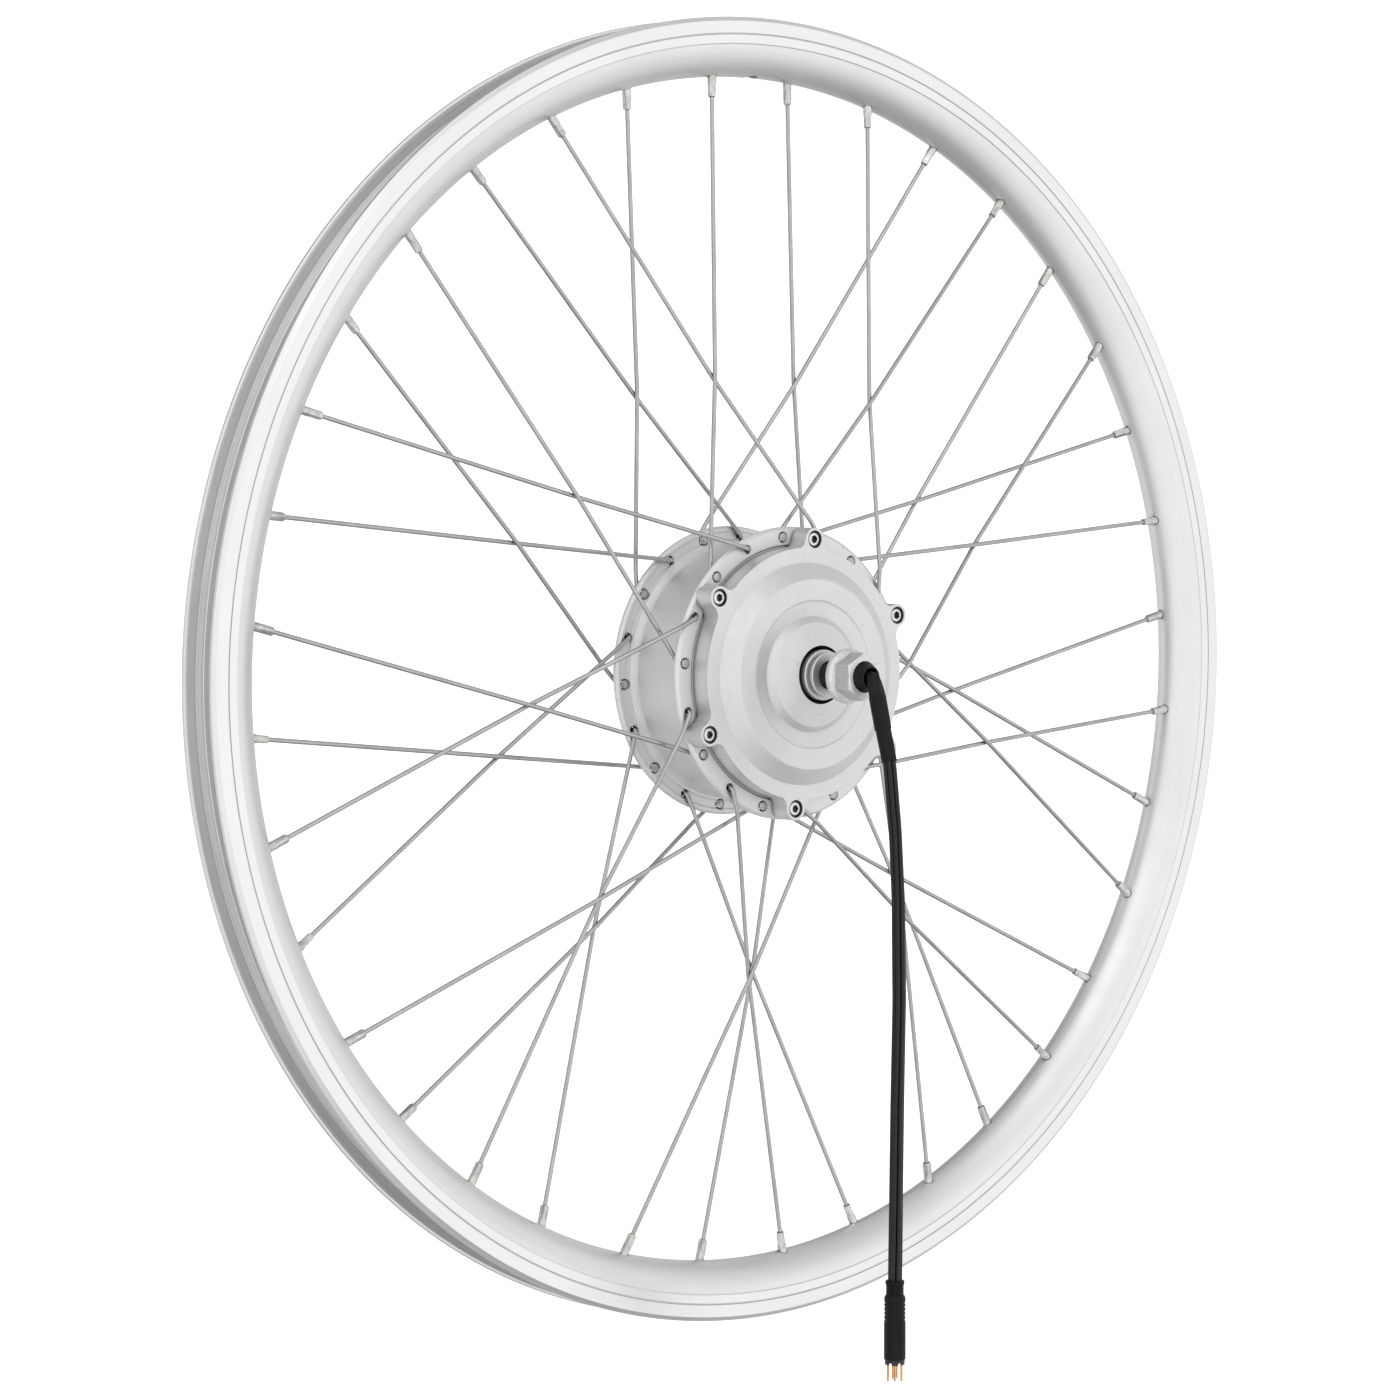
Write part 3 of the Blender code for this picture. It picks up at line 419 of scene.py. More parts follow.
@material((0.68, 0.685, 0.69), 0.8, 0.40)
def ground_steel(look):
    """Ground steel: fine rings round the axle and small dark marks."""
    _, radius, along = look.around_axle()
    rings = look.stretched((0.0, 0.0), (radius, 3000.0), (along, 3000.0))
    look.vary(rings, 0.08)
    look.weather(clouds=(200.0, 0.06))
    look.raise_by(rings, 0.004)
    look.worn_edges((0.94, 0.94, 0.94), 0.8)
    # Painted shade in the groove and the corners by the seal and the nut.
    look.painted_shade((0.02, 0.02, 0.02), 2.8, 0.97)


@material((0.20, 0.20, 0.22), 0.75, 0.50)
def lamination(look):
    """Stacked electrical sheet: half-millimetre lines along the axle, with a hint of rust."""
    _, _, along = look.around_axle()
    sheet = look.math("FRACT", look.times(along, 2000.0))
    look.vary(sheet, 0.30)
    look.tint(look.remap(look.noise(90.0, 4.0), 0.60, 0.75, 0.0, 0.4), (0.20, 0.09, 0.04))
    look.raise_by(look.math("PINGPONG", sheet, 0.5), 0.12)


@material((0.62, 0.25, 0.10), 0.9, 0.30)
def copper_wire(look):
    """Enamelled wire: fine wound strands with a lacquer shine."""
    _, radius, along = look.around_axle()
    strands = look.math("FRACT", look.times(look.math("ADD", radius, along), 1400.0))
    look.vary(strands, 0.25)
    look.weather(clouds=(200.0, 0.15))
    look.raise_by(look.math("PINGPONG", strands, 0.5), 0.25)
    look.put(0.4, look.shader.inputs["Coat Weight"])


@material((0.34, 0.34, 0.35), 0.95, 0.24)
def magnet_plate(look):
    """Nickel-plated magnets: gaps between separate blocks show as dark lines round the ring."""
    angle, _, _ = look.around_axle()
    block = look.math("FRACT", look.times(angle, 16 / CIRCLE))
    gap = look.math("LESS_THAN", look.math("ABSOLUTE", look.math("SUBTRACT", block, 0.5)), 0.02)
    look.tint(gap, (0.02, 0.02, 0.02))
    look.weather(clouds=(120.0, 0.10))


@material((0.008, 0.008, 0.0085), 0.0, 0.50, specular=0.2)
def heat_shrink(look):
    """Heat-shrink sleeve: matt black with faint lengthwise creases."""
    x, y, z = look.split(look.coords)
    creases = look.stretched((x, 900.0), (y, 900.0), (z, 90.0), detail=3.0)
    look.vary(creases, 0.25)
    look.weather(polish=(400.0, 0.12))
    look.raise_by(creases, 0.10)


@material((0.009, 0.009, 0.0095), 0.0, 0.55, specular=0.25)
def cable_braid(look):
    """Loose wires at the axle's mouth under a woven sock."""
    wave = look.cells(2600.0)["Distance"]
    look.vary(wave, 0.5)
    look.raise_by(wave, 0.06)


@material((0.006, 0.006, 0.0065), 0.0, 0.33, specular=0.42)
def cable_jacket(look):
    """Black cable jacket: satin, with dust and tiny scratches."""
    look.tint(look.remap(look.noise(350.0, 4.0, 0.7), 0.60, 0.80, 0.0, 0.25), (0.03, 0.03, 0.03))
    look.weather(polish=(500.0, 0.12), grain=(1400.0, 0.02))


@material((0.02, 0.14, 0.05), 0.0, 0.35)
def circuit_board(look):
    """Green solder mask over faint copper tracks."""
    tracks = look.math("LESS_THAN", look.cells(260.0)["Distance"], 0.25)
    look.tint(look.times(tracks, 0.6), (0.05, 0.26, 0.10))
    look.raise_by(tracks, 0.03)


@material((0.80, 0.77, 0.68), 0.0, 0.46)
def gear_nylon(look):
    """Moulded nylon: creamy, slightly waxy and mottled."""
    look.put(0.15, look.shader.inputs["Subsurface Weight"])
    look.put((0.004, 0.003, 0.002), look.shader.inputs["Subsurface Radius"])
    look.weather(clouds=(80.0, 0.06), grain=(900.0, 0.02))


@material((0.34, 0.35, 0.37), 1.0, 0.34)
def gear_steel(look):
    look.weather((150.0, 0.14), (400.0, 0.10), (1200.0, 0.01))


@material((0.78, 0.47, 0.22), 1.0, 0.24)
def gold_pin(look):
    look.weather((700.0, 0.12), (900.0, 0.08))


@material((0.006, 0.006, 0.0065), 0.0, 0.55, specular=0.2)
def seal_rubber(look):
    look.weather(polish=(300.0, 0.12), grain=(1200.0, 0.03))


@material((0.0045, 0.0055, 0.0075), 0.0, 0.40, specular=0.18)
def plug_plastic(look):
    """Moulded plastic: near-black with a cold tint and a faint sheen."""
    look.weather((150.0, 0.25), (900.0, 0.10), (2200.0, 0.02))


@material((0.014, 0.010, 0.022), 0.0, 0.28)
def insert_plastic(look):
    """Harder and glossier than the plug, almost black with a violet cast."""
    look.weather((200.0, 0.25), (900.0, 0.08), (1800.0, 0.01))


# ---------------------------------------------------------------- mesh tools

def bare_object(name, bm):
    """Turns a bmesh in millimetres into an object in metres."""
    bmesh.ops.recalc_face_normals(bm, faces=bm.faces)
    bmesh.ops.scale(bm, vec=(MM, MM, MM), verts=bm.verts)
    mesh = bpy.data.meshes.new(name)
    bm.to_mesh(mesh)
    bm.free()
    obj = bpy.data.objects.new(name, mesh)
    bpy.context.scene.collection.objects.link(obj)
    return obj


def finish(obj, name, look, body, node, sharp=32.0, even=True):
    """Names and shades a piece, which rides on a body and stands for a CAD node.

    even weighs the shading by face size, which hides the long thin faces that Booleans leave.
    """
    obj.name = name
    obj.data.name = name
    obj.data.materials.clear()
    obj.data.materials.append(look)
    obj.data.shade_smooth()
    obj.data.set_sharp_from_angle(angle=math.radians(sharp))
    if even:
        obj.modifiers.new("even_shading", "WEIGHTED_NORMAL").keep_sharp = True
    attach(obj, body)
    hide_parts(node)


def new_piece(name, bm, look, body, node, sharp=32.0):
    finish(bare_object(name, bm), name, look, body, node, sharp, even=False)


def boolean(obj, tool, operation="DIFFERENCE"):
    """Works a tool, as a bmesh or an object, into obj's mesh at once and removes it."""
    helper = tool if isinstance(tool, bpy.types.Object) else bare_object("tool", tool)
    modifier = obj.modifiers.new("cut", "BOOLEAN")
    modifier.operation = operation
    modifier.object = helper
    bpy.context.view_layer.update()
    graph = bpy.context.evaluated_depsgraph_get()
    mesh = bpy.data.meshes.new_from_object(obj.evaluated_get(graph))
    obj.modifiers.clear()
    obj.data = mesh
    bpy.data.objects.remove(helper)


def corner_arc(before, here, after, radius, limit, steps):
    """A corner turned into an arc that takes up at most limit of the lines beside it."""
    back, ahead = before - here, after - here
    reach = radius / max(math.tan(back.angle(ahead) / 2), 1e-3)
    reach = min(reach, back.length * limit, ahead.length * limit)
    start, end = here + back.normalized() * reach, here + ahead.normalized() * reach
    shares = [step / steps for step in range(steps + 1)]
    return [(1 - t) ** 2 * start + 2 * t * (1 - t) * here + t * t * end for t in shares]


def rounded(points, arc_steps=4):
    """A closed outline from (a, b, radius) corners. The radius may be left out for a sharp corner."""
    outline = []
    for i, corner in enumerate(points):
        here = Vector(corner[:2])
        if len(corner) < 3 or corner[2] <= 0:
            outline.append(tuple(here))
            continue
        before, after = Vector(points[i - 1][:2]), Vector(points[(i + 1) % len(points)][:2])
        outline += [tuple(point) for point in corner_arc(before, here, after, corner[2], 0.48, arc_steps)]
    return outline


def bent_path(corners, steps=6):
    """A smooth line through (point, bend radius) corners."""
    line = [corners[0][0].copy()]
    for (before, _), (here, radius), (after, _) in zip(corners, corners[1:], corners[2:]):
        line += corner_arc(before, here, after, radius, 0.49, steps) if radius > 0 else [here.copy()]
    return line + [corners[-1][0].copy()]


def on_circle(radius, angle, y=0.0):
    return Vector((radius * math.cos(angle), y, radius * math.sin(angle)))


def polar(radius, degrees, y=0.0):
    return on_circle(radius, math.radians(degrees), y)


def circle(radius, sides, centre=(0.0, 0.0), first=0.0):
    return [(centre[0] + radius * math.cos(first + CIRCLE * i / sides),
             centre[1] + radius * math.sin(first + CIRCLE * i / sides)) for i in range(sides)]


def bridge(bm, one, two):
    """Joins two rings of vertices with a band of faces."""
    for k in range(len(one)):
        j = (k + 1) % len(one)
        bm.faces.new([one[k], one[j], two[j], two[k]])


def add_turned(bm, outline, steps, centre=Vector(), turn=Matrix(), first=0.0):
    """Turns a closed outline of (radius, along) points round the Y axis, or round what turn makes of it."""
    rings = []
    for radius, along in outline:
        places = [first + CIRCLE * i / steps for i in range(steps if radius > 1e-6 else 1)]
        rings.append([bm.verts.new(turn @ on_circle(radius, angle, along) + centre) for angle in places])
    for one, two in zip(rings, rings[1:] + rings[:1]):
        for i in range(steps):
            j = (i + 1) % steps
            corners = [one[i % len(one)], one[j % len(one)], two[j % len(two)], two[i % len(two)]]
            corners = list(dict.fromkeys(corners))
            if len(corners) > 2:
                bm.faces.new(corners)


def turned_bm(outline, steps, **place):
    bm = bmesh.new()
    add_turned(bm, outline, steps, **place)
    return bm


def add_prism(bm, corners, offset):
    """Extrudes a flat outline by offset and returns the vertices of its far end."""
    face = bm.faces.new([bm.verts.new(corner) for corner in corners])
    made = bmesh.ops.extrude_face_region(bm, geom=[face])
    far_end = [item for item in made["geom"] if isinstance(item, bmesh.types.BMVert)]
    bmesh.ops.translate(bm, verts=far_end, vec=offset)
    return far_end


def add_plate(bm, outline, low, high):
    """Extrudes an outline of (x, z) points along the axle."""
    return add_prism(bm, [(x, low, z) for x, z in outline], (0, high - low, 0))


def bevel_rim(bm, verts, width, segments=3):
    """Bevels the edges that join these vertices, such as the outer edge of a plate."""
    chosen = set(verts)
    edges = [e for e in bm.edges if e.verts[0] in chosen and e.verts[1] in chosen]
    bmesh.ops.bevel(bm, geom=edges, offset=width, segments=segments, profile=0.5, affect="EDGES")


def frames(line):
    """Each point of a line with two directions across it that don't twist along the way."""
    last = len(line) - 1
    directions = [(line[min(i + 1, last)] - line[max(i - 1, 0)]).normalized() for i in range(len(line))]
    side = directions[0].orthogonal().normalized()
    for point, along in zip(line, directions):
        side = (side - along * side.dot(along)).normalized()
        yield point, side, along.cross(side)


def add_sweep(bm, line, radius_at, sides, ends=True):
    """A bar along line. radius_at(i, angle) gives the distance from the line to the skin."""
    rings = []
    for i, (point, side, other) in enumerate(frames(line)):
        ring = []
        for k in range(sides):
            angle = CIRCLE * k / sides
            reach = radius_at(i, angle)
            ring.append(bm.verts.new(point + reach * (math.cos(angle) * side + math.sin(angle) * other)))
        rings.append(ring)
    for one, two in zip(rings, rings[1:]):
        bridge(bm, one, two)
    if ends:
        bm.faces.new(rings[0])
        bm.faces.new(rings[-1])
    return rings


def add_bar(bm, start, end, radius, sides):
    add_sweep(bm, [start, end], lambda i, angle: radius, sides)


# ---------------------------------------------------------------- rim

def mirrored(half):
    """Completes an outline of (radius, offset, rounding) points with its mirror image."""
    ahead = [(r, RIM_Y + w, f) for r, w, f in half]
    back = [(r, RIM_Y - w, f) for r, w, f in reversed(half) if w > 0]
    return ahead + back


def make_rim():
    """Double-wall rim with hooked lips, grooved brake tracks, drop centre, spoke holes and valve hole."""
    bed, track, groove = RIM_R - BED_DEPTH, RIM_R - TRACK_DEPTH, RIM_R - GROOVE_DEPTH
    half = RIM_HALF
    belly = []
    for step in range(BED_STEPS):
        across = math.sin(CIRCLE / 4 * step / BED_STEPS)
        rise = 1 - (1 - across ** BED_ROUNDNESS) ** (1 / BED_ROUNDNESS)
        belly.append((bed + (track - bed) * rise, (half - 0.6) * across, 0.0))
    outside = mirrored(belly + [
        (track - 0.25, half - 0.55, 0.3), (track, half - 0.05, 0.25),
        (groove - 0.35, half, 0.15), (groove - 0.15, half - 0.45, 0.1), (groove + 0.15, half - 0.45, 0.1),
        (groove + 0.35, half, 0.15), (RIM_R - 1.9, half, 0.5), (RIM_R - 0.7, half - 1.0, 0.5),
        (RIM_R, half - 1.5, 0.4), (RIM_R, half - 3.0, 0.5), (RIM_R - 1.4, half - 3.5, 0.6),
        (RIM_R - 2.6, half - 2.3, 0.5), (RIM_R - 6.6, half - 2.0, 0.5), (RIM_R - 7.5, half - 6.2, 0.6),
        (RIM_R - 11.4, half - 7.3, 1.6), (RIM_R - 12.0, 0.0, 0.0)])
    hollow = mirrored([
        (RIM_R - 13.5, 0.0, 0.0), (RIM_R - 13.0, half - 5.6, 1.5), (RIM_R - 9.3, half - 4.2, 0.8),
        (RIM_R - 9.6, half - 1.7, 0.8), (track - 3.4, half - 2.8, 2.0), (bed + 8.0, 8.2, 4.0),
        (bed + 4.1, 5.0, 4.0), (bed + 1.8, 0.0, 0.0)])
    rim = bare_object("rim", turned_bm(rounded(outside), RIM_STEPS))
    boolean(rim, turned_bm(rounded(hollow, 3), RIM_STEPS // 2))
    drills = bmesh.new()
    for plan in SPOKES:
        add_bar(drills, plan.seat - plan.out * 6.0, plan.seat + plan.out * 5.0, NIPPLE_HOLE_R, 24)
    valve = polar(RIM_R - 20.0, VALVE_ANGLE, RIM_Y)
    add_bar(drills, valve * 0.96, valve * 1.08, VALVE_HOLE_R, 32)
    boolean(rim, drills)
    finish(rim, "rim", rim_alloy(), WHEEL, "rim")


# ---------------------------------------------------------------- spokes and nipples

class SpokePlan:
    """Where one spoke runs. flange is -1 or +1; outer says its elbow is on the flange's outer face."""

    def __init__(self, name, node, flange, outer, start, gain):
        self.name, self.node, self.outer = name, node, outer
        face_out, face_in = flange * FLANGE_OUT, flange * FLANGE_IN
        self.head_y, elbow_y = (face_in, face_out) if outer else (face_out, face_in)
        self.lean = -flange if outer else flange          # the way the head points from the flange
        corner_y = elbow_y - self.lean * ELBOW_OFFSET
        self.hole_y = (face_in + face_out) / 2
        rim_y = RIM_Y + flange * RIM_HOLE_STAGGER
        self.seat = polar(RIM_R - BED_DEPTH + 0.6, start + gain * LACING, rim_y)
        self.head = polar(HOLE_CIRCLE, start, self.head_y)
        self.corner = polar(HOLE_CIRCLE, start, corner_y)
        run = self.seat - self.corner
        self.edge = self.corner + run * 0.05
        self.edge.y = corner_y
        self.crossing = self.corner + run * CROSSING_T
        self.crossing.y = self.hole_y + (rim_y - self.hole_y) * CROSSING_T
        self.crossing.y += flange * (-CROSSING_OFFSET if outer else CROSSING_OFFSET)
        self.out = (self.seat - self.crossing).normalized()
        self.tip = self.seat - self.out * NIPPLE_LENGTH


def plan_spokes():
    """Eighteen crossing pairs: a leading and a trailing spoke for each CAD node."""
    plans = []
    for side, flange, first in (("near", -1, NEAR_FIRST), ("far", 1, FAR_FIRST)):
        leading_outer = flange < 0
        for number in range(HOLES // 2):
            start = first + 2 * PITCH * number
            node = f"{side}_spoke_pair_{number + 1}"
            plans.append(SpokePlan(f"{side}_leading_{number + 1}", node, flange, leading_outer, start, 1))
            plans.append(SpokePlan(f"{side}_trailing_{number + 1}", node, flange, not leading_outer,
                                   start + PAIR_OFFSET, -1))
    return plans


def make_spoke(plan):
    """Headed wire: domed head in its countersink, bent elbow, kink where it bears on its partner."""
    lean = Vector((0, plan.lean, 0))
    crown = [(0.50, 0.15), (0.49, 0.8), (0.42, 1.35), (0.24, 1.8), (0.02, 1.95), (-0.22, 1.85),
             (-0.80, SPOKE_R)]
    head = [plan.head + lean * height for height, _ in crown]
    corners = [(head[-1], 0.0), (plan.corner, 2.4)]
    if plan.outer:
        corners.append((plan.edge, 9.0))
    corners += [(plan.crossing, 60.0), (plan.tip + plan.out * 2.0, 0.0)]
    body = bent_path(corners, 5)
    radii = [radius for _, radius in crown] + [SPOKE_R] * (len(body) - 1)
    bm = bmesh.new()
    add_sweep(bm, head + body[1:], lambda i, angle: radii[i], 14)
    new_piece("spoke_" + plan.name, bm, spoke_stainless(), WHEEL, plan.node)


def make_nipple(plan):
    """Nickelled nipple: rounded nose, square spanner flats, round shank and a head inside the rim."""
    flat, shank, head, no_flat = 1.62, 1.98, 2.7, 9.0
    sections = [(0.9, 1.08, no_flat), (0.15, 1.3, no_flat), (0.0, 1.42, no_flat), (0.1, 1.55, no_flat),
                (0.45, 1.80, flat), (0.8, shank, flat), (5.6, shank, flat), (6.3, shank, shank),
                (NIPPLE_LENGTH + 1.9, shank, shank), (NIPPLE_LENGTH + 2.2, head, no_flat),
                (NIPPLE_LENGTH + 3.6, head, no_flat), (NIPPLE_LENGTH + 4.4, 1.6, no_flat)]
    turn = random.uniform(0, math.pi / 2)

    def skin(i, angle):
        _, round_r, flat_r = sections[i]
        local = angle + turn
        return min(round_r, flat_r / max(abs(math.cos(local)), abs(math.sin(local))))

    bm = bmesh.new()
    add_sweep(bm, [plan.tip + plan.out * along for along, _, _ in sections], skin, 32)
    new_piece("nipple_" + plan.name, bm, nipple_nickel(), WHEEL, plan.node, sharp=25.0)


# ---------------------------------------------------------------- hub shell and cover

def arc(centre, radius, start, sweep, steps):
    """The points of an arc of a flat circle."""
    angles = [start + sweep * t / steps for t in range(steps + 1)]
    return [centre + radius * Vector((math.cos(angle), math.sin(angle))) for angle in angles]


def shortest(angle):
    """The same turn as an angle from minus to plus half a circle."""
    return (angle + math.pi) % CIRCLE - math.pi


def eared_outline():
    """A ring with six ears round the screws, each blended into the ring by two fillets."""
    reach = POCKET_R + EAR_FILLET
    cos_off = (SCREW_CIRCLE ** 2 + reach ** 2 - (EAR_R + EAR_FILLET) ** 2) / (2 * SCREW_CIRCLE * reach)
    off = math.acos(cos_off)
    points = []
    for index in range(SCREWS):
        middle = math.radians(SCREW_ANGLE + 360 / SCREWS * index)
        ear = Vector((SCREW_CIRCLE * math.cos(middle), SCREW_CIRCLE * math.sin(middle)))
        for way in (-1, 1):
            centre = Vector((reach * math.cos(middle + way * off), reach * math.sin(middle + way * off)))
            to_ear = ear - centre
            on_ring = math.atan2(-centre.y, -centre.x)
            fillet = arc(centre, EAR_FILLET, on_ring, shortest(math.atan2(to_ear.y, to_ear.x) - on_ring), 6)
            if way < 0:
                first = (fillet[-1] - ear).normalized()
                start = math.atan2(first.y, first.x)
                points += fillet + arc(ear, EAR_R, start, 2 * shortest(middle - start), 14)[1:-1]
            else:
                points += fillet[::-1]
        points += arc(Vector((0, 0)), POCKET_R, middle + off, CIRCLE / SCREWS - 2 * off, 16)[1:-1]
    return [tuple(point) for point in points]


def screw_places():
    return [polar(SCREW_CIRCLE, SCREW_ANGLE + 360 / SCREWS * i) for i in range(SCREWS)]


def make_hub_shell():
    """Cast shell: near collar with six bosses, two drilled flanges, barrel and domed far wall."""
    r, out, inn = FLANGE_R, FLANGE_OUT, FLANGE_IN
    outline = rounded([
        (51.5, SHELL_END, 0.3), (POCKET_R, SHELL_END), (POCKET_R, -out + 0.5, 0.7), (55.7, -out + 0.5, 0.3),
        (56.1, -out, 0.3), (r - 1.4, -out, 0.6), (r, -out + 1.1, 0.6), (r, -inn - 0.9, 0.5),
        (r - 0.9, -inn, 0.4), (57.4, -inn, 1.2), (BARREL_R + 0.6, -inn + 2.4, 1.8),
        (BARREL_R, -inn + 3.4, 1.0), (BARREL_R, inn - 3.8, 1.0), (BARREL_R + 0.7, inn - 2.6, 1.6),
        (56.6, inn - 0.75, 0.8),
        (57.6, inn - 0.75, 0.3), (57.9, inn, 0.3), (61.2, inn, 0.4), (61.8, inn - 0.55, 0.4),
        (r - 1.0, inn - 0.55, 0.5), (r, inn + 0.5, 0.5), (r, out - 1.1, 0.6), (r - 1.2, out, 0.6),
        (57.0, out, 1.5), (54.6, 25.6, 2.5), (51.0, 29.2, 3.0), (44.5, 31.4, 3.0), (34.0, 32.0, 2.0),
        (33.2, 32.6, 0.4), (27.0, 33.0, 0.8), (24.6, 36.0, 1.5), (23.0, 38.9, 1.2), (12.6, 41.6, 0.4),
        (12.6, 37.6), (14.3, 37.6), (14.3, 28.6), (47.5, 28.6, 2.0), (51.5, 24.6, 2.0)])
    shell = bare_object("shell", turned_bm(outline, HUB_STEPS))
    bosses = bmesh.new()
    add_plate(bosses, eared_outline(), -out + 1.0, SHELL_END)
    collar = bare_object("collar", bosses)
    boolean(collar, turned_bm([(0, 0), (52.5, 0), (52.5, -60), (0, -60)], 96))
    boolean(shell, collar, "UNION")
    spoke_hole = [(0.0, 4.0), (2.6, 4.0), (2.6, 1.35), (2.2, 1.0), (1.5, 0.3), (1.5, -0.7), (2.0, -1.5),
                  (2.0, -4.0), (0.0, -4.0)]
    drills = bmesh.new()
    for plan in SPOKES:
        turn = Matrix.Rotation(0 if plan.lean > 0 else math.pi, 3, "X")
        add_turned(drills, spoke_hole, 20, centre=Vector((plan.head.x, plan.hole_y, plan.head.z)), turn=turn)
    for place in screw_places():
        add_plate(drills, circle(2.2, 20, (place.x, place.z)), SHELL_END - 1, -out + 0.5)
    boolean(shell, drills)
    finish(shell, "hub_shell_casting", hub_shell_alloy(), WHEEL, "hub_shell")


def make_side_cover():
    """Turned cover: eared plate, raised shoulder, shallow rings and the conical boss round the axle."""
    dome = rounded([
        (12.6, -43.15, 0.3), (22.7, -39.2, 0.5), (23.6, -38.2, 0.6), (25.3, -36.5, 0.8), (31.6, -37.75, 0.6),
        (32.4, -38.25, 0.35), (33.2, -38.35, 0.3), (41.2, -37.95, 0.9), (42.4, -37.1, 1.2),
        (47.2, -33.3, 1.5), (48.9, -32.0, 0.2), (48.9, -27.6, 0.3), (46.4, -30.2, 1.0),
        (40.3, -34.6, 1.0), (26.0, -33.2, 1.0), (17.6, -31.0, 0.5), (14.3, -31.0), (14.3, -38.7),
        (12.6, -38.7)])
    cover = bare_object("dome", turned_bm(dome, HUB_STEPS))
    plate_bm = bmesh.new()
    face = add_plate(plate_bm, eared_outline(), SHELL_END - 0.04, COVER_FACE)
    bevel_rim(plate_bm, face, 0.3)
    plate = bare_object("plate", plate_bm)
    boolean(plate, turned_bm([(0, -20), (47.6, -20), (47.6, -40), (0, -40)], HUB_STEPS))
    spigot = rounded([(47.7, -31.2), (51.1, -31.2), (51.1, -27.4, 0.3), (48.5, -27.4, 0.3), (47.7, -29.0)])
    boolean(cover, turned_bm(spigot, HUB_STEPS), "UNION")
    boolean(cover, plate, "UNION")
    sink = rounded([(0, COVER_SEAT + 1), (2.3, COVER_SEAT + 1), (2.3, SCREW_SEAT + 0.1),
                    (3.85, SCREW_SEAT + 0.1), (3.85, COVER_FACE + 0.1), (4.15, COVER_FACE - 0.2),
                    (4.15, COVER_FACE - 2), (0, COVER_FACE - 2)])
    drills = bmesh.new()
    for place in screw_places():
        add_turned(drills, sink, 28, centre=place)
    boolean(cover, drills)
    finish(cover, "side_cover_plate", hub_cover_alloy(), WHEEL, "side_cover", sharp=28.0)


def make_cover_screws():
    """Socket screws sunk in the ears, each with its own turn of the hexagon socket."""
    top, head_r, shank_r, end = SCREW_TOP, 3.1, 1.9, -23.4
    socket_r, socket_depth = 1.85, 1.9
    head = rounded([(0, top), (1.95, top, 0.1), (2.7, top + 0.12, 0.5), (head_r, top + 0.5, 0.3),
                    (head_r, SCREW_SEAT), (shank_r, SCREW_SEAT, 0.1), (shank_r, end, 0.3), (0, end)])
    for number, place in enumerate(screw_places()):
        screw = bare_object("screw", turned_bm(head, 40, centre=place))
        socket = bmesh.new()
        spin = random.uniform(0, math.pi / 3)
        add_plate(socket, circle(socket_r, 6, (place.x, place.z), spin), top - 1, top + socket_depth)
        boolean(screw, socket)
        finish(screw, f"cover_screw_head_{number + 1}", screw_steel(), WHEEL, f"cover_screw_{number + 1}",
               sharp=35.0)


def make_seal(name, node, mouth, way):
    """Lip seal: a ring with a thin lip that rests near the spacer. way is -1 if its mouth faces -Y."""
    outline = rounded([(12.5, mouth - way * 0.1, 0.2), (11.9, mouth + way * 0.15, 0.3),
                       (11.2, mouth - way * 0.3, 0.2), (11.1, mouth - way * 1.9, 0.2),
                       (12.5, mouth - way * 2.1, 0.2)])
    new_piece(name, turned_bm(outline, 96), seal_rubber(), WHEEL, node)


# ---------------------------------------------------------------- axle line

def make_near_spacer():
    """Ground steel spacer: a collar with two polished rings, a groove, and the chamfered dropout face."""
    end, root, bore, collar_r = SPACER_LOW.y, SPACER_HIGH.y, 6.3, 10.95
    outline = rounded([
        (bore, root), (collar_r, root, 0.2), (collar_r, -44.6, 0.2), (10.6, -45.0, 0.15),
        (10.1, -45.1, 0.15), (8.8, -45.4, 0.2), (8.8, -47.1, 0.2), (10.07, -47.4, 0.15),
        (10.07, end + 0.35, 0.1), (9.8, end, 0.1), (bore, end)])
    new_piece("near_spacer_sleeve", turned_bm(outline, 96), ground_steel(), AXLE, "near_spacer")


def make_far_spacer():
    """Plain sleeve with chamfered ends and a shallow groove by the seal."""
    root, end, bore, collar_r = FAR_SPACER_LOW.y, FAR_SPACER_HIGH.y, 6.3, 10.9
    outline = rounded([
        (bore, root), (collar_r, root, 0.2), (collar_r, 42.4, 0.3), (9.6, 43.0, 0.3), (9.6, 44.0, 0.3),
        (10.05, 44.4, 0.2), (10.05, end - 0.8, 0.2), (9.3, end, 0.1), (bore, end)])
    new_piece("far_spacer_sleeve", turned_bm(outline, 96), ground_steel(), AXLE, "far_spacer")


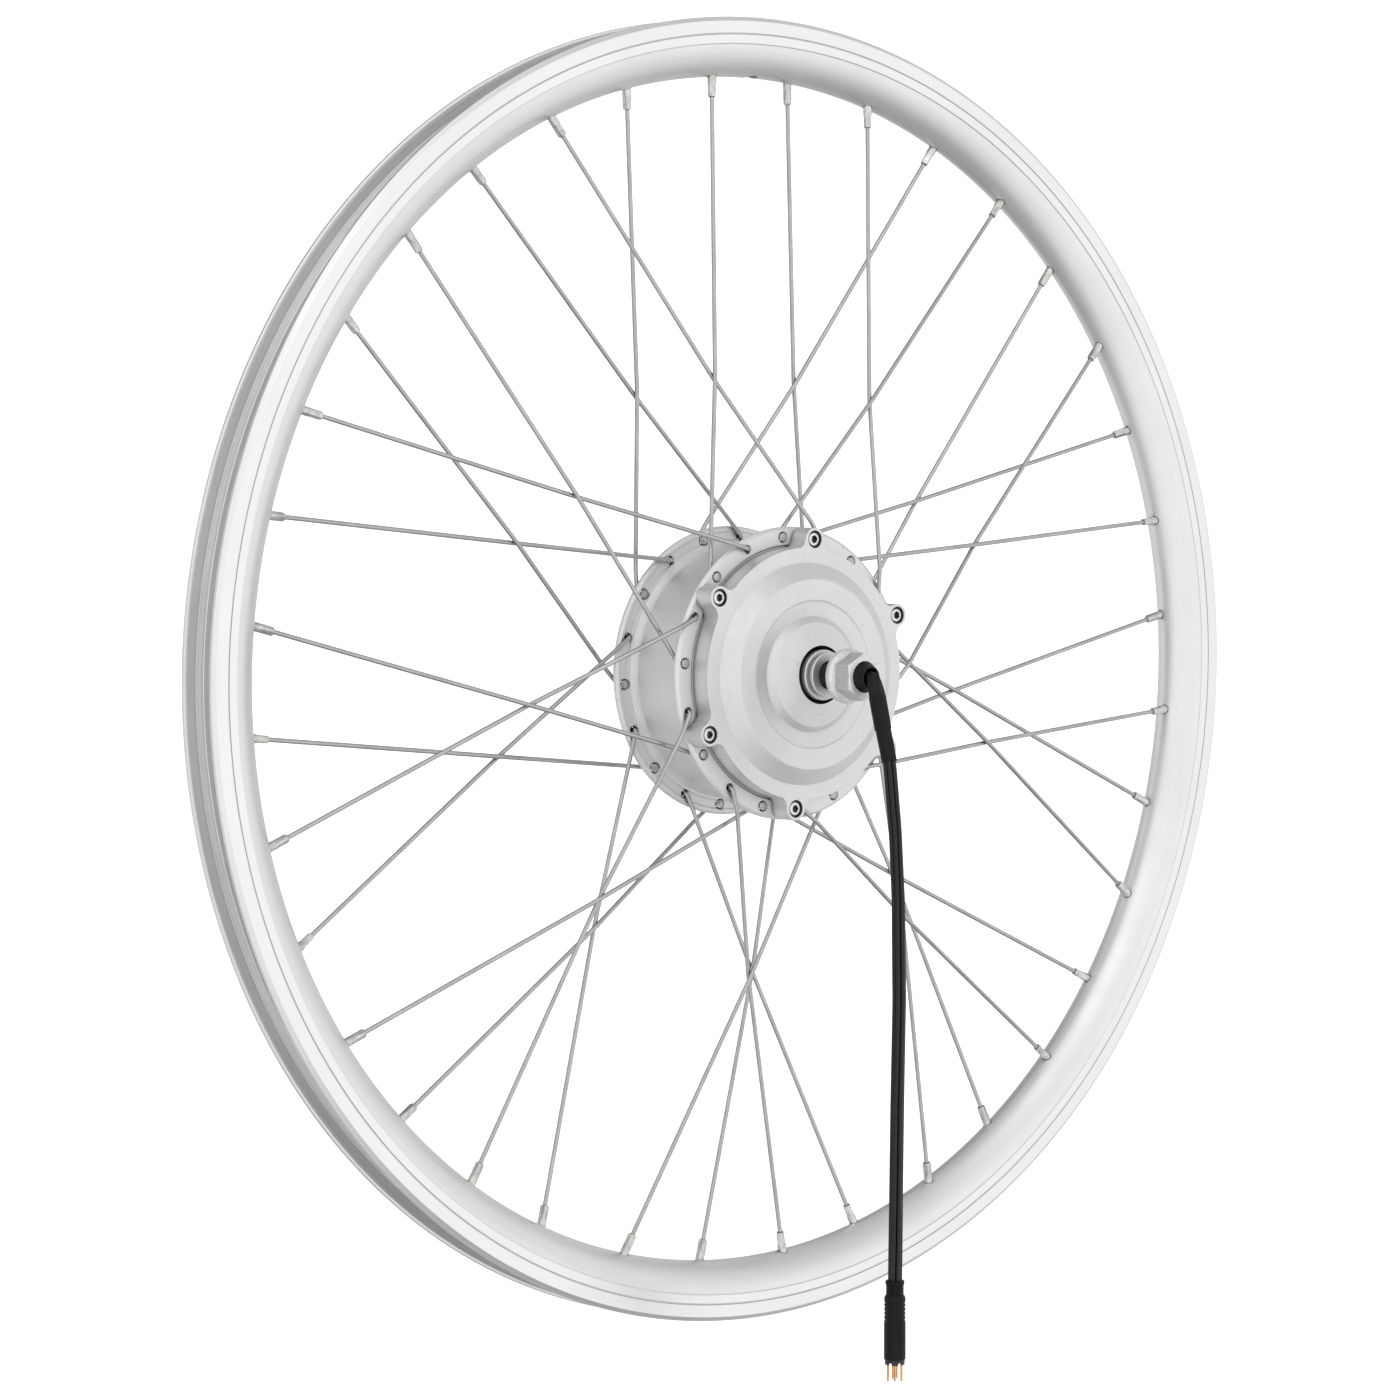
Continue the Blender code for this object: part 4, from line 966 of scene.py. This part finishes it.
def make_nut(name, node, seat, away):
    """Flanged hexagon nut: chamfered corners, conical flange with rounded rim, threaded bore.

    It is made with its flange at 0 and its end towards -Y. The turned tools start at odd angles, so that no
    point of theirs falls on a corner of the hexagon.
    """
    end = NUT_LOW.y - NUT_HIGH.y
    blank = bmesh.new()
    add_plate(blank, circle(NUT_FLATS / math.sqrt(3), 6, first=math.radians(30)), 0.0, end - 1)
    nut = bare_object("blank", blank)
    chamfer = rounded([(0, -1.5), (11.5, -1.5), (11.5, end + 1.1), (8.55, end + 0.05, 0.2), (8.2, end),
                       (0, end)], 3)
    boolean(nut, turned_bm(chamfer, 96, first=math.radians(1.3)), "INTERSECT")
    flange = rounded([(0, -4.2), (9.0, -4.0, 0.5), (10.6, -3.4, 0.6), (11.75, -2.4, 0.4), (11.95, -1.8, 0.3),
                      (11.8, -0.3, 0.3), (11.3, 0, 0.2), (0, 0)])
    boolean(nut, turned_bm(flange, 96, first=math.radians(0.7)), "UNION")
    bore = rounded([(0, 1), (7.0, 1), (7.0, 0.0), (6.25, -0.8), (6.25, end + 0.8), (6.9, end - 0.05),
                    (6.9, end - 1), (0, end - 1)])
    boolean(nut, turned_bm(bore, 64))
    nut.data.transform(Matrix.Rotation(0 if away < 0 else math.pi, 4, "X"))
    nut.data.transform(Matrix.Translation((0, seat * MM, 0)))
    finish(nut, name, nut_zinc(), AXLE, node, sharp=30.0)


def thread_radius(y, share, low, high):
    """The thread's skin at a place along it and a share of its turn. It runs out over 0.8 mm at each end."""
    run_out = max(0.0, min(1.0, (y - low) / 0.8, (high - y) / 0.8))
    crest = 1 - abs(2 * ((y / THREAD_PITCH + share) % 1.0) - 1)
    crest = min(1.0, max(0.0, crest * 1.35 - 0.1))
    return THREAD_R - THREAD_DEPTH * (1 - crest * run_out)


def add_thread(bm, low, high, steps=48, rows=8):
    """A screw thread's skin between two places on the axle; returns its first and last rings."""
    count = int((high - low) / THREAD_PITCH * rows)
    rings = []
    for row in range(count + 1):
        y = low + (high - low) * row / count
        rings.append([bm.verts.new(on_circle(thread_radius(y, k / steps, low, high), CIRCLE * k / steps, y))
                      for k in range(steps)])
    for one, two in zip(rings, rings[1:]):
        bridge(bm, one, two)
    return rings[0], rings[-1]


def carry_on(bm, ring, points):
    """Carries a ring of vertices on through (radius, along) points."""
    for radius, y in points:
        new = [bm.verts.new(on_circle(radius, CIRCLE * k / len(ring), y)) for k in range(len(ring))]
        bridge(bm, ring, new)
        ring = new
    return ring


def make_axle():
    """Black axle with M12 threads at both ends, a hollow near end and a stepped middle."""
    tip, far_tip = AXLE_LOW.y, AXLE_HIGH.y
    bm = bmesh.new()
    near_first, near_last = add_thread(bm, tip + 2.6, -40.0)
    inside = carry_on(bm, near_first, [(4.95, tip + 2.1), (4.9, tip + 0.4), (4.6, tip), (4.1, tip + 0.05),
                                       (3.85, tip + 0.5), (3.85, -33.0), (3.0, -30.0), (3.0, -10.0)])
    bm.faces.new(inside)
    middle = carry_on(bm, near_last, [(6.0, -38.6), (7.5, -38.6), (7.5, -31.0), (8.0, -31.0), (8.0, -27.6),
                                      (5.5, -27.6), (5.5, -8.0), (9.0, -8.0), (9.0, 17.0), (8.5, 17.0),
                                      (8.5, 29.9), (7.5, 29.9), (7.5, 37.5), (6.0, 37.5), (6.0, 39.0)])
    far_first, far_last = add_thread(bm, 40.0, far_tip - 0.6)
    bridge(bm, middle, far_first)
    end = carry_on(bm, far_last, [(4.9, far_tip), (1.6, far_tip), (1.2, far_tip - 1.2)])
    bm.faces.new(end)
    new_piece("axle_shaft", bm, axle_black(), AXLE, "axle", sharp=30.0)


# ---------------------------------------------------------------- cable and plug

def cable_line():
    """The cable's centre line, in the plane of the axle and the vertical, in even short steps."""
    rough = bent_path([(Vector((0, y, z)), bend) for y, z, bend in CABLE_BENDS], 8)
    line = [rough[0]]
    for a, b in zip(rough, rough[1:]):
        pieces = max(1, round((b - a).length / 1.6))
        line += [a.lerp(b, (i + 1) / pieces) for i in range(pieces) if (b - a).length > 0.05]
    return line


def add_wires(bm, line, ring_at, wire_r, filler, twist, wander):
    """Wires laid round a line at ring_at(i) from it, with a slow twist and a little wander, over a core."""
    crossways = list(frames(line))
    for number in range(WIRES):
        phase = random.uniform(0, CIRCLE)
        path = []
        for i, (point, side, other) in enumerate(crossways):
            angle = CIRCLE * number / WIRES + twist * i + wander * math.sin(0.11 * i + phase)
            reach = ring_at(i) * (1 + 0.4 * wander * math.sin(0.07 * i + 2 * phase))
            path.append(point + reach * (math.cos(angle) * side + math.sin(angle) * other))
        add_sweep(bm, path, lambda i, angle: wire_r, 16)
    add_sweep(bm, line, lambda i, angle: ring_at(i) + filler, 24)


def make_cable():
    """Bundle of wires: drawn together in the axle's bore, fanned out to the sleeve, then on to the plug."""
    line = cable_line()
    sleeve_start = next(i for i, point in enumerate(line) if point.z < SLEEVE_TOP)
    sleeve_end = next(i for i, point in enumerate(line) if point.z < SLEEVE_END)
    exit_at = next(i for i, point in enumerate(line) if point.y < CABLE_EXIT_Y)

    def fan(i):
        return 1.35 + min(max((i - exit_at) / (sleeve_start - exit_at), 0.0), 1.0)

    mouth = bmesh.new()
    add_wires(mouth, line[:sleeve_start + 3], fan, 1.12, filler=0.65, twist=0.12, wander=0.10)
    new_piece("cable_bare_wires", mouth, cable_braid(), AXLE, "motor_cable", sharp=60.0)
    run = bmesh.new()
    add_wires(run, line[sleeve_end - 3:], lambda i: 2.02, 1.02, filler=-0.15, twist=0.0022, wander=0.035)
    new_piece("cable_run", run, cable_jacket(), AXLE, "motor_cable", sharp=60.0)
    make_cable_sleeve(line[sleeve_start:sleeve_end])


def make_cable_sleeve(line):
    """Two lengths of heat-shrink tube, one partly over the other, pulled tight and cut square."""
    last = len(line) - 1

    def outside(i, angle):
        share = i / last
        swell = 3.85 - 0.15 * share if share < 0.48 else 3.62 - 0.20 * share
        return swell + 0.07 * math.cos(2 * angle) + 0.07 * math.cos(6 * angle + 0.5)

    bm = bmesh.new()
    inner = add_sweep(bm, line, lambda i, angle: 3.0, 60, ends=False)
    outer = add_sweep(bm, line, outside, 60, ends=False)
    bridge(bm, inner[0], outer[0])
    bridge(bm, inner[-1], outer[-1])
    new_piece("cable_heat_shrink", bm, heat_shrink(), AXLE, "cable_sleeve", sharp=40.0)


def plug_outline():
    """The plug body's outline, as (radius, height) corners: ribbed collar, waved grip and a hollow below."""
    top, neck_r, rib_r, insert_r = PLUG_TOP, 3.6, 3.85, 4.35
    collar = [(neck_r, top - 0.2, 0.3), (4.1, top - 0.4, 0.3), (4.1, top - 1.9, 0.3)]
    for rib in range(4):
        z = top - 2.2 - 1.05 * rib
        collar += [(neck_r, z, 0.15), (rib_r, z - 0.25, 0.2), (rib_r, z - 0.7, 0.2),
                   (neck_r, z - 0.95, 0.15)]
    waves = []
    for step in range(PLUG_WAVES * 8 + 1):
        dip = PLUG_WAVE_DEPTH * (0.5 - 0.5 * math.cos(CIRCLE * step / 8))
        waves.append((PLUG_R - 0.05 - dip, top - 9.0 - PLUG_WAVE_PITCH * step / 8))
    shoulder = [(4.1, top - 6.7, 0.4), (PLUG_R - 0.1, top - 7.6, 0.6)]
    skirt = [(PLUG_R, top - 19.0, 0.4), (PLUG_R, PLUG_SKIRT, 0.3), (insert_r, PLUG_SKIRT),
             (insert_r, PLUG_SKIRT + 2.4), (0, PLUG_SKIRT + 2.4)]
    return rounded([(0, top), (2.9, top, 0.3)] + collar + shoulder + waves + skirt, 3)


def make_plug_body():
    """Round plug with 18 flutes round its lower half."""
    body = bare_object("plug", turned_bm(plug_outline(), 72, centre=PLUG_CENTRE, turn=UPRIGHT))
    flute_r, flute_circle, count = 0.5, PLUG_R + 0.42, 18
    flutes = bmesh.new()
    flute = rounded([(0, PLUG_SKIRT + 1.2), (flute_r, PLUG_SKIRT + 1.7, 0.3),
                     (flute_r, PLUG_TOP - 20.2, 0.3), (0, PLUG_TOP - 19.7)], 3)
    for x, y in circle(flute_circle, count):
        add_turned(flutes, flute, 12, centre=PLUG_CENTRE + Vector((x, y, 0)), turn=UPRIGHT)
    boolean(body, flutes)
    finish(body, "plug_body", plug_plastic(), AXLE, "connector_body", sharp=40.0)


def make_plug_insert():
    """The insert in the plug's end: a shallow cup with six notches in its rim."""
    cup = rounded([(0, PLUG_END + 1.9), (3.5, PLUG_END + 1.9), (3.5, PLUG_END, 0.15), (4.3, PLUG_END, 0.25),
                   (4.3, PLUG_SKIRT + 2.35), (0, PLUG_SKIRT + 2.35)])
    insert = bare_object("insert", turned_bm(cup, 48, centre=PLUG_CENTRE, turn=UPRIGHT))
    notches = bmesh.new()
    for index in range(6):
        out, side = polar(1.0, 60 * index + 20), polar(0.75, 60 * index + 110)
        corners = [out * reach + side * way for reach, way in ((2.6, -1), (5.2, -1), (5.2, 1), (2.6, 1))]
        add_prism(notches, [(c.x, PLUG_CENTRE.y + c.z, PLUG_END - 1.0) for c in corners], (0, 0, 2.0))
    boolean(insert, notches)
    finish(insert, "plug_insert", insert_plastic(), AXLE, "connector_pins")


def make_plug_pins():
    """Three thick power pins and six thin signal pins, each with a rounded tip."""
    thick = [(0.0, 0.0), (2.9, 0.0), (2.9, 180.0)]
    thin = [(1.6, 55.0), (1.6, 125.0), (1.6, 235.0), (1.6, 305.0), (3.0, 90.0), (3.0, 270.0)]
    root = PLUG_END + 2.5
    pins = bmesh.new()
    for places, pin_r, tip in ((thick, 0.5, PIN_END), (thin, 0.32, PIN_END + 1.3)):
        outline = rounded([(0, tip), (pin_r * 0.6, tip, 0.1), (pin_r, tip + 0.6, 0.2), (pin_r, root),
                           (0, root)], 3)
        for reach, turn in places:
            place = polar(reach, turn + PLUG_KEY)
            add_turned(pins, outline, 16, centre=PLUG_CENTRE + Vector((place.x, place.z, 0)), turn=UPRIGHT)
    new_piece("plug_contacts", pins, gold_pin(), AXLE, "connector_pins")


# ---------------------------------------------------------------- pieces inside the hub

def finish_inside():
    """The frame's own pieces inside the hub keep their shapes and get their materials."""
    bearings = [side + part for side in ("near_", "far_")
                for part in ("bearing_inner", "bearing_outer", "ball_cage")]
    looks = {
        ground_steel: bearings + ["one_way_clutch", "rotor_bush"],
        gear_steel: ["ring_gear", "sun_gear", "planet_carrier", "rotor_can"],
        gear_nylon: ["planet_gear_1", "planet_gear_2", "planet_gear_3"],
        lamination: ["stator_core"], copper_wire: ["stator_winding"], magnet_plate: ["magnet_ring"],
        circuit_board: ["hall_board"]}
    for look, nodes in looks.items():
        for node in nodes:
            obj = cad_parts[node]
            obj.data.materials.clear()
            obj.data.materials.append(look())


# ---------------------------------------------------------------- stage, light and camera

def make_stage():
    """Pale floor that curves up into a backdrop, square to the camera."""
    floor_z, bend_r, bend_at, half_width = PIN_END * MM - 0.002, 1.4, 2.2, 6.0
    profile = [(-4.0, floor_z)]
    for step in range(13):
        angle = CIRCLE / 4 * step / 12
        profile.append((bend_at + bend_r * math.sin(angle), floor_z + bend_r * (1 - math.cos(angle))))
    profile.append((bend_at + bend_r, floor_z + 5.0))
    across = Vector((math.cos(CAMERA_TURN), math.sin(CAMERA_TURN), 0))
    depth = Vector((-across.y, across.x, 0))
    sides = (-half_width, half_width)
    bm = bmesh.new()
    rows = [[bm.verts.new(across * side + depth * back + Vector((0, 0, z))) for side in sides]
            for back, z in profile]
    for one, two in zip(rows, rows[1:]):
        bm.faces.new([one[0], one[1], two[1], two[0]])
    mesh = bpy.data.meshes.new("floor")
    bm.to_mesh(mesh)
    bm.free()
    mesh.shade_smooth()
    floor = bpy.data.objects.new("floor", mesh)
    bpy.context.scene.collection.objects.link(floor)
    look = Look("floor_paper", (0.90, 0.90, 0.90), 0.0, 0.9)
    look.vary(look.noise(3.0, 2.0), 0.004)
    look.put((1.0, 1.0, 1.0), look.shader.inputs["Emission Color"])
    look.put(0.60, look.shader.inputs["Emission Strength"])
    floor.data.materials.append(look.done())
    floor.visible_glossy = False
    floor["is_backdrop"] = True


def make_camera():
    """The camera looks at the wheel from the cable side, a little above the axle."""
    turn, rise = CAMERA_TURN, CAMERA_RISE
    right = Vector((math.cos(turn), math.sin(turn), 0))
    back = Vector((math.sin(turn) * math.cos(rise), -math.cos(turn) * math.cos(rise), math.sin(rise)))
    up = back.cross(right)
    data = bpy.data.cameras.new("camera")
    data.lens = CAMERA_LENS
    data.sensor_width = 36.0
    data.clip_start = 0.05
    camera = bpy.data.objects.new("camera", data)
    camera.matrix_world = Matrix((right, up, back)).transposed().to_4x4()
    camera.location = (Vector((0, RIM_Y * MM, 0)) + right * CAMERA_SHIFT[0] + up * CAMERA_SHIFT[1]
                       + back * CAMERA_DISTANCE)
    bpy.context.scene.collection.objects.link(camera)
    bpy.context.scene.camera = camera


def add_softbox(name, place, size, power):
    """A rectangular light that points at the origin."""
    data = bpy.data.lights.new(name, "AREA")
    data.shape = "RECTANGLE"
    data.size, data.size_y = size
    data.energy = power
    light = bpy.data.objects.new(name, data)
    light.location = place
    light.rotation_euler = (-Vector(place)).to_track_quat("-Z", "Y").to_euler()
    bpy.context.scene.collection.objects.link(light)


def make_light():
    """A white studio. What the camera sees behind the wheel is plain white; the metal mirrors lit panels and
    darker gaps between them, which give the spokes and the hub their contrast."""
    world = bpy.data.worlds.new("studio")
    bpy.context.scene.world = world
    world.use_nodes = True
    nodes = Nodes(world.node_tree)
    towards = nodes.node("ShaderNodeTexCoord").outputs["Generated"]
    total = STUDIO_BASE
    for direction, start, full, strength in STUDIO_PANELS:
        facing = nodes.node("ShaderNodeVectorMath", {0: towards, 1: Vector(direction).normalized()},
                            operation="DOT_PRODUCT").outputs["Value"]
        lit = nodes.remap(facing, start, full, 0.0, strength, interpolation_type="SMOOTHSTEP")
        total = nodes.math("ADD", total, lit)
    seen = nodes.node("ShaderNodeLightPath").outputs["Is Camera Ray"]
    hidden = nodes.math("SUBTRACT", 1.0, seen)
    background = nodes.tree.nodes["Background"]
    nodes.put((1.0, 1.0, 1.0), background.inputs["Color"])
    nodes.put(nodes.math("ADD", seen, nodes.times(hidden, total)), background.inputs["Strength"])
    add_softbox("top_softbox", (-0.9, -1.2, 2.0), (2.2, 1.8), 4.5)
    add_softbox("left_softbox", (-2.0, -0.6, 0.6), (1.0, 1.6), 1.3)
    bpy.context.scene.view_settings.view_transform = "Standard"


# ---------------------------------------------------------------- build

SPOKES = plan_spokes()
make_rim()
for spoke_plan in SPOKES:
    make_spoke(spoke_plan)
    make_nipple(spoke_plan)
make_hub_shell()
make_side_cover()
make_cover_screws()
make_seal("near_lip_seal", "near_seal", -41.0, -1)
make_seal("far_lip_seal", "far_seal", 39.6, 1)
make_near_spacer()
make_far_spacer()
make_nut("near_flange_nut", "near_nut", NUT_HIGH.y, -1)
make_nut("far_flange_nut", "far_nut", FAR_NUT_SEAT, 1)
make_axle()
make_cable()
make_plug_body()
make_plug_insert()
make_plug_pins()
finish_inside()
make_stage()
make_camera()
make_light()

sizes = {name: [list(corner) for corner in corners]
         for name, corners in (("cad", CAD_BOUNDS), ("visual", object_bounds()))}
